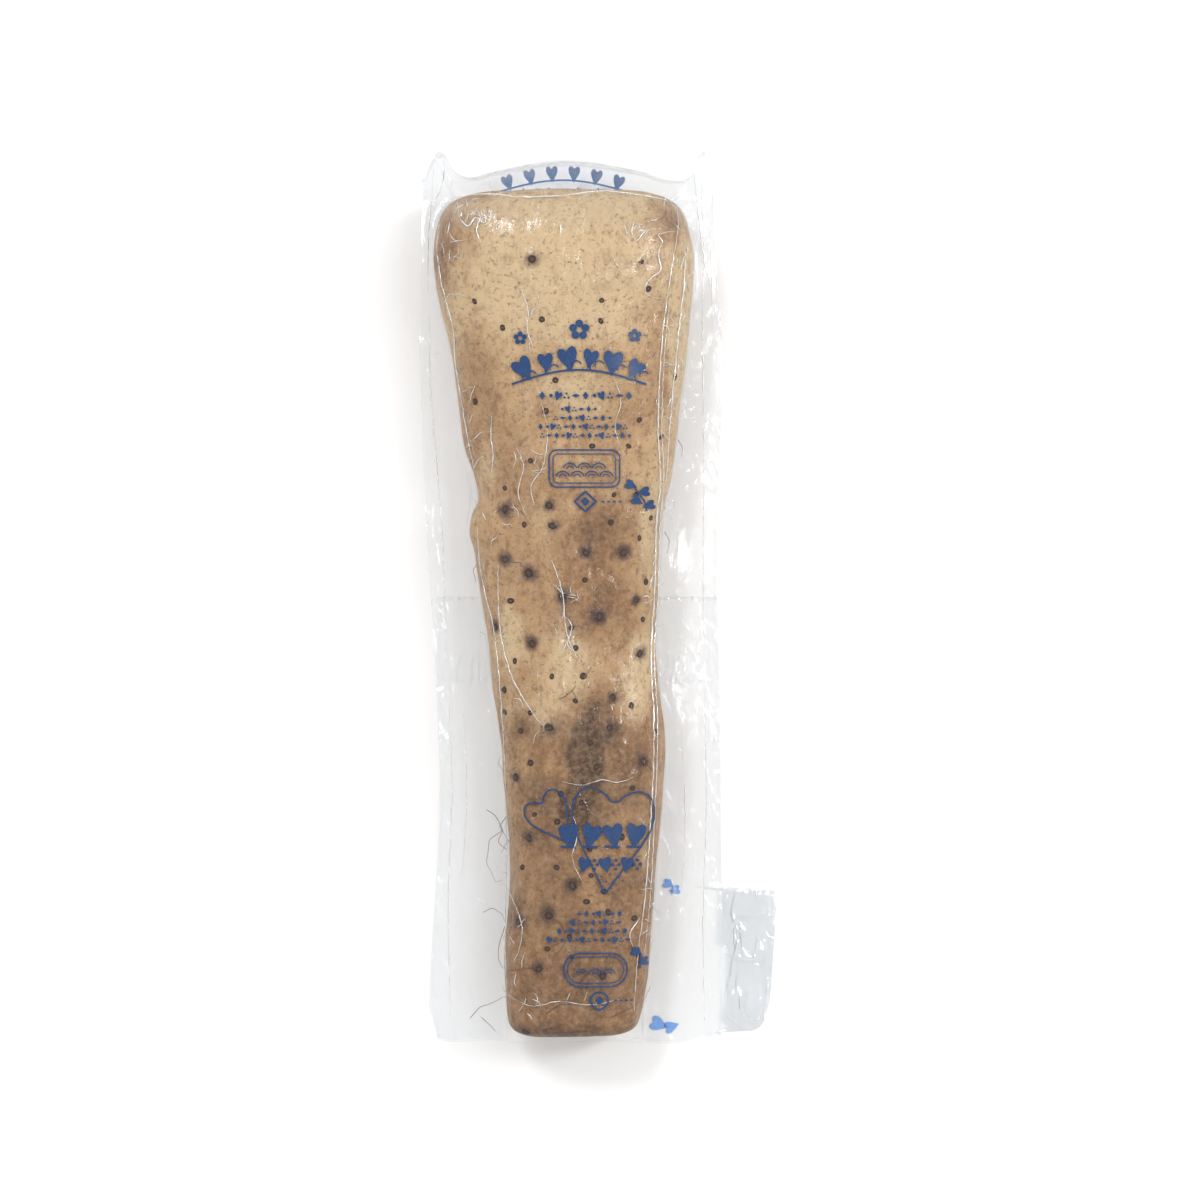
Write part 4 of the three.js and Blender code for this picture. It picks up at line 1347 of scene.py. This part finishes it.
def back_design():
    """The same spray, seen from behind through the clear film above the yam."""
    lines, fills = [], []
    stem = [(-31 + 40 * t, 122 + 3.6 * math.sin(math.pi * t)) for t in (k / 20 for k in range(21))]
    lines.append((stem, 0.5))
    for k in range(6):
        t = (k + 0.5) / 6
        x, y = -31 + 40 * t, 122 + 3.6 * math.sin(math.pi * t)
        fills.append(leaf(x, y + 2.0, 3.4, mix(24, -24, t)))
    motif_row(lines, fills, 122.6, -23, 1, 0.9)
    return lines, fills


def tail_design():
    """Print on the tail, seen from behind through the film: a small sprig and parts of leaves."""
    lines = [([(21.4, -85.6), (22.2, -87.8), (21.8, -90.2)], 0.45)]
    fills = [leaf(20.7, -87.0, 2.6, 70), leaf(22.9, -88.8, 2.6, -80)]
    fills += [leaf(17.8, -129.4, 4.2, 70), leaf(21.6, -130.2, 3.4, 110)]
    return lines, fills


def ribbon(bm, points, width):
    dense = [points[0]]
    for p, q in zip(points, points[1:]):
        steps = max(1, math.ceil(math.dist(p, q) / 0.7))
        dense += [(mix(p[0], q[0], k / steps), mix(p[1], q[1], k / steps)) for k in range(1, steps + 1)]
    previous = None
    for k, (x, y) in enumerate(dense):
        ax, ay = dense[max(k - 1, 0)]
        bx, by = dense[min(k + 1, len(dense) - 1)]
        length = math.hypot(bx - ax, by - ay) or 1
        nx, ny = -(by - ay) / length * width / 2, (bx - ax) / length * width / 2
        pair = (bm.verts.new((x + nx, y + ny, 0)), bm.verts.new((x - nx, y - ny, 0)))
        if previous:
            bm.faces.new((previous[0], previous[1], pair[1], pair[0]))
        previous = pair


def ink_piece(name, design, drop_on, ink):
    """Ink as a thin skin laid on a web. `drop_on` gives a point of the web's face and its normal."""
    deselect_all()
    bpy.ops.mesh.primitive_plane_add(size=1)
    piece = added(name)
    lines, fills = design
    bm = bmesh.new()
    for points, width in lines:
        ribbon(bm, points, width)
    for points in fills:
        face = bm.faces.new([bm.verts.new((x, y, 0)) for x, y in points])
        made = bmesh.ops.triangulate(bm, faces=[face])
        edges = list({e for f in made["faces"] for e in f.edges if e.calc_length() > 1.3})
        if edges:
            bmesh.ops.subdivide_edges(bm, edges=edges, cuts=2, use_grid_fill=True)
    keep = []
    for vertex in bm.verts:
        spot, normal = drop_on(vertex.co.x, vertex.co.y)
        if spot is None:
            keep.append(vertex)
            continue
        vertex.co = spot + normal * 0.00006
    bmesh.ops.delete(bm, geom=keep, context="VERTS")
    bmesh.ops.recalc_face_normals(bm, faces=bm.faces)
    bm.to_mesh(piece.data)
    bm.free()
    apply_modifier(piece, "SOLIDIFY", thickness=0.00003, offset=1)
    smooth(piece, 50)
    piece.data.materials.clear()
    piece.data.materials.append(ink)
    settle(piece, "pouch_film")
    return piece


class YAM_OT_print(bpy.types.Operator):
    """Print the pouch in blue: sprays of yam leaves, stitches, framed waves and small tokens"""

    bl_idname = "yam.print"
    bl_label = "Print"

    def execute(self, context):
        front = surface_of(bpy.data.objects["front_film"])
        back = surface_of(bpy.data.objects["back_film"])

        def on_front(x, y):
            return top_of(front, x, y)

        def from_below(surface):
            def place(x, y):
                spot, normal, _, _ = surface.ray_cast(Vector((x * MM, y * MM, -0.03)), Vector((0, 0, 1)))
                return spot, normal

            return place

        settings = context.scene.yam_print
        near = ink_material("blue ink", settings.ink, linear(20, 62, 108))
        # Painted backlight: the back and tail prints get the paler copy of the ink, not the front print's ink.
        far = ink_material("backlit pale blue ink", settings.backlit_far_ink, linear(110, 160, 220))
        ink_piece("front_print", print_design(), on_front, near)
        ink_piece("back_print", back_design(), from_below(back), far)
        ink_piece("tail_print", tail_design(), from_below(front), far)
        return {"FINISHED"}


class YAM_OT_pleats(bpy.types.Operator):
    """Pinch the film into narrow folds where it pulls across the yam, and on its tail"""

    bl_idname = "yam.pleats"
    bl_label = "Pleats"

    def execute(self, context):
        rng = random.Random(23)
        front = surface_of(bpy.data.objects["front_film"])
        back = surface_of(bpy.data.objects["back_film"])
        routes = [(points, height, width, front) for points, height, width in FILM_CREASES]
        routes += [(points, height, width, back) for points, height, width in TAIL_CREASES]
        for x, y, wide, tall, strength in CRUMPLES:
            for _ in range(int(strength * (wide + 1) * tall / 7) + 2):
                px, py = x + wide * rng.uniform(-0.9, 0.9), y + tall * rng.uniform(-1, 1)
                a = math.pi / 2 + rng.gauss(0, 0.7)
                points = [(px, py)]
                for _ in range(rng.randint(2, 4)):
                    a += rng.gauss(0, 0.55)
                    px, py = px + 1.3 * math.cos(a), py + 1.3 * math.sin(a)
                    points.append((px, py))
                routes.append((points, rng.uniform(0.08, 0.18), rng.uniform(0.25, 0.42), front))
        deselect_all()
        bpy.ops.mesh.primitive_plane_add(size=1)
        pleats = added("film_pleats")
        bm = bmesh.new()
        for points, height, width, surface in routes:
            pinch(bm, points, height, width, surface)
        bmesh.ops.recalc_face_normals(bm, faces=bm.faces)
        bm.to_mesh(pleats.data)
        bm.free()
        smooth(pleats)
        pleats.data.materials.clear()
        pleats.data.materials.append(pleat_material(context.scene.yam_pouch))
        settle(pleats, "pouch_film")
        return {"FINISHED"}


def pinch(bm, points, height, width, surface):
    """A closed, three-sided fold along a wavering line on a surface, fading out at its ends."""
    total = sum(math.dist(p, q) for p, q in zip(points, points[1:]))
    count = max(4, int(total / 0.7))
    marks = [0.0]
    for p, q in zip(points, points[1:]):
        marks.append(marks[-1] + math.dist(p, q))
    rows = [(mark, *point) for mark, point in zip(marks, points)]
    line = [(follow(rows, 1, total * k / count), follow(rows, 2, total * k / count)) for k in range(count + 1)]
    previous = None
    for k, (x, y) in enumerate(line):
        (ax, ay), (bx, by) = line[max(k - 1, 0)], line[min(k + 1, count)]
        length = math.hypot(bx - ax, by - ay) or 1
        nx, ny = -(by - ay) / length, (bx - ax) / length
        sway = 0.22 * noise.noise(Vector((x / 1.9, y / 1.9, 4)))
        x, y = x + nx * sway, y + ny * sway
        spot, normal = top_of(surface, x, y)
        if spot is None:
            if previous:
                bm.faces.new(previous)
            previous = None
            continue
        fade = math.sin(math.pi * clamp(k / count, 0.03, 0.97)) ** 0.5
        fade *= 0.75 + 0.5 * noise.noise(Vector((x / 3, y / 3, 6)))
        across = Vector((nx, ny, 0)) * width / 2 * fade * MM
        peak = spot + normal * height * fade * MM
        base = spot - normal * 0.0001
        ring = [bm.verts.new(base + across), bm.verts.new(peak), bm.verts.new(base - across)]
        if previous:
            for a in range(3):
                b = (a + 1) % 3
                bm.faces.new((previous[a], previous[b], ring[b], ring[a]))
        else:
            bm.faces.new(ring)
        previous = ring
    if previous:
        bm.faces.new(previous)


# ---- The stage -----------------------------------------------------------------------------------


def area_light(name, place, target, width, height, power):
    light = bpy.data.lights.new(name, "AREA")
    light.shape, light.size, light.size_y, light.energy = "RECTANGLE", width, height, power
    lamp = bpy.data.objects.new(name, light)
    bpy.context.collection.objects.link(lamp)
    lamp.location = place
    lamp.rotation_euler = (Vector(target) - Vector(place)).to_track_quat("-Z", "Y").to_euler()
    return lamp


class YAM_OT_stage(bpy.types.Operator):
    """Set the pale floor, the soft lights and the camera straight above"""

    bl_idname = "yam.stage"
    bl_label = "Stage"

    def execute(self, context):
        settings = context.scene.yam_stage
        scene = context.scene
        deselect_all()
        bpy.ops.mesh.primitive_plane_add(size=8, location=(0, 0, 0))
        floor = added("floor")
        for vertex in floor.data.vertices:
            vertex.co.z = -0.0004
        material, nodes = new_material("pale floor")
        shader = nodes.add(
            "ShaderNodeBsdfPrincipled",
            {"Base Color": (*settings.floor, 1), "Roughness": 0.9, "Specular IOR Level": 0.1},
        )
        out = nodes.add("ShaderNodeOutputMaterial")
        nodes.tree.links.new(shader.outputs[0], out.inputs[0])
        floor.data.materials.append(material)

        world = scene.world or bpy.data.worlds.new("World")
        scene.world = world
        world.use_nodes = True
        background = world.node_tree.nodes.get("Background")
        background.inputs["Color"].default_value = (1, 1, 1, 1)
        background.inputs["Strength"].default_value = 0.9
        area_light("left softbox", (-0.75, 0.85, 0.9), (0, 0, 0), 0.6, 0.6, 3)
        area_light("right softbox", (0.95, 0.3, 0.7), (0, 0, 0.01), 0.3, 0.7, 3)
        area_light("left window", (-0.4, 0.6, 1.15), (0, 0.05, 0.02), 0.24, 0.16, 4)
        area_light("right window", (0.6, 0.2, 1.0), (0, 0, 0.02), 0.12, 0.5, 3)

        camera_data = bpy.data.cameras.new("camera")
        camera_data.lens, camera_data.sensor_width = settings.lens, 36
        camera = bpy.data.objects.new("camera", camera_data)
        context.collection.objects.link(camera)
        camera.location = (0.00015, -0.00105, 0.36 * settings.lens / 36 + 0.016)
        camera_data.clip_end = 20
        scene.camera = camera
        scene.view_settings.view_transform = "Standard"
        scene.cycles.transparent_max_bounces = 40
        return {"FINISHED"}


# ---- Panel and registration ----------------------------------------------------------------------

OPERATORS = (
    YAM_OT_tuber, YAM_OT_root_scars, YAM_OT_rootlets, YAM_OT_front_web, YAM_OT_back_web,
    YAM_OT_pleats, YAM_OT_print, YAM_OT_stage,
)


class YAM_PT_panel(bpy.types.Panel):
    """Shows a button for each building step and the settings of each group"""

    bl_idname = "YAM_PT_panel"
    bl_label = "Vacuum-packed yam"
    bl_space_type = "VIEW_3D"
    bl_region_type = "UI"
    bl_category = "Yam"

    def draw(self, context):
        for operator in OPERATORS:
            self.layout.operator(operator.bl_idname)
        for group in ("yam_tuber", "yam_pouch", "yam_print", "yam_stage"):
            settings = getattr(context.scene, group)
            box = self.layout.box()
            for name in settings.__annotations__:
                box.prop(settings, name)


SETTINGS = {
    "yam_tuber": TuberSettings,
    "yam_pouch": PouchSettings,
    "yam_print": PrintSettings,
    "yam_stage": StageSettings,
}
CLASSES = (*SETTINGS.values(), *OPERATORS, YAM_PT_panel)


def register():
    for cls in CLASSES:
        bpy.utils.register_class(cls)
    for name, cls in SETTINGS.items():
        setattr(bpy.types.Scene, name, PointerProperty(type=cls))


def unregister():
    for name in SETTINGS:
        delattr(bpy.types.Scene, name)
    for cls in reversed(CLASSES):
        bpy.utils.unregister_class(cls)


def main():
    register()
    bpy.ops.yam.tuber()
    bpy.ops.yam.root_scars()
    bpy.ops.yam.rootlets()
    bpy.ops.yam.front_web()
    bpy.ops.yam.back_web()
    bpy.ops.yam.pleats()
    bpy.ops.yam.print()
    bpy.ops.yam.stage()


if __name__ == "__main__":
    main()
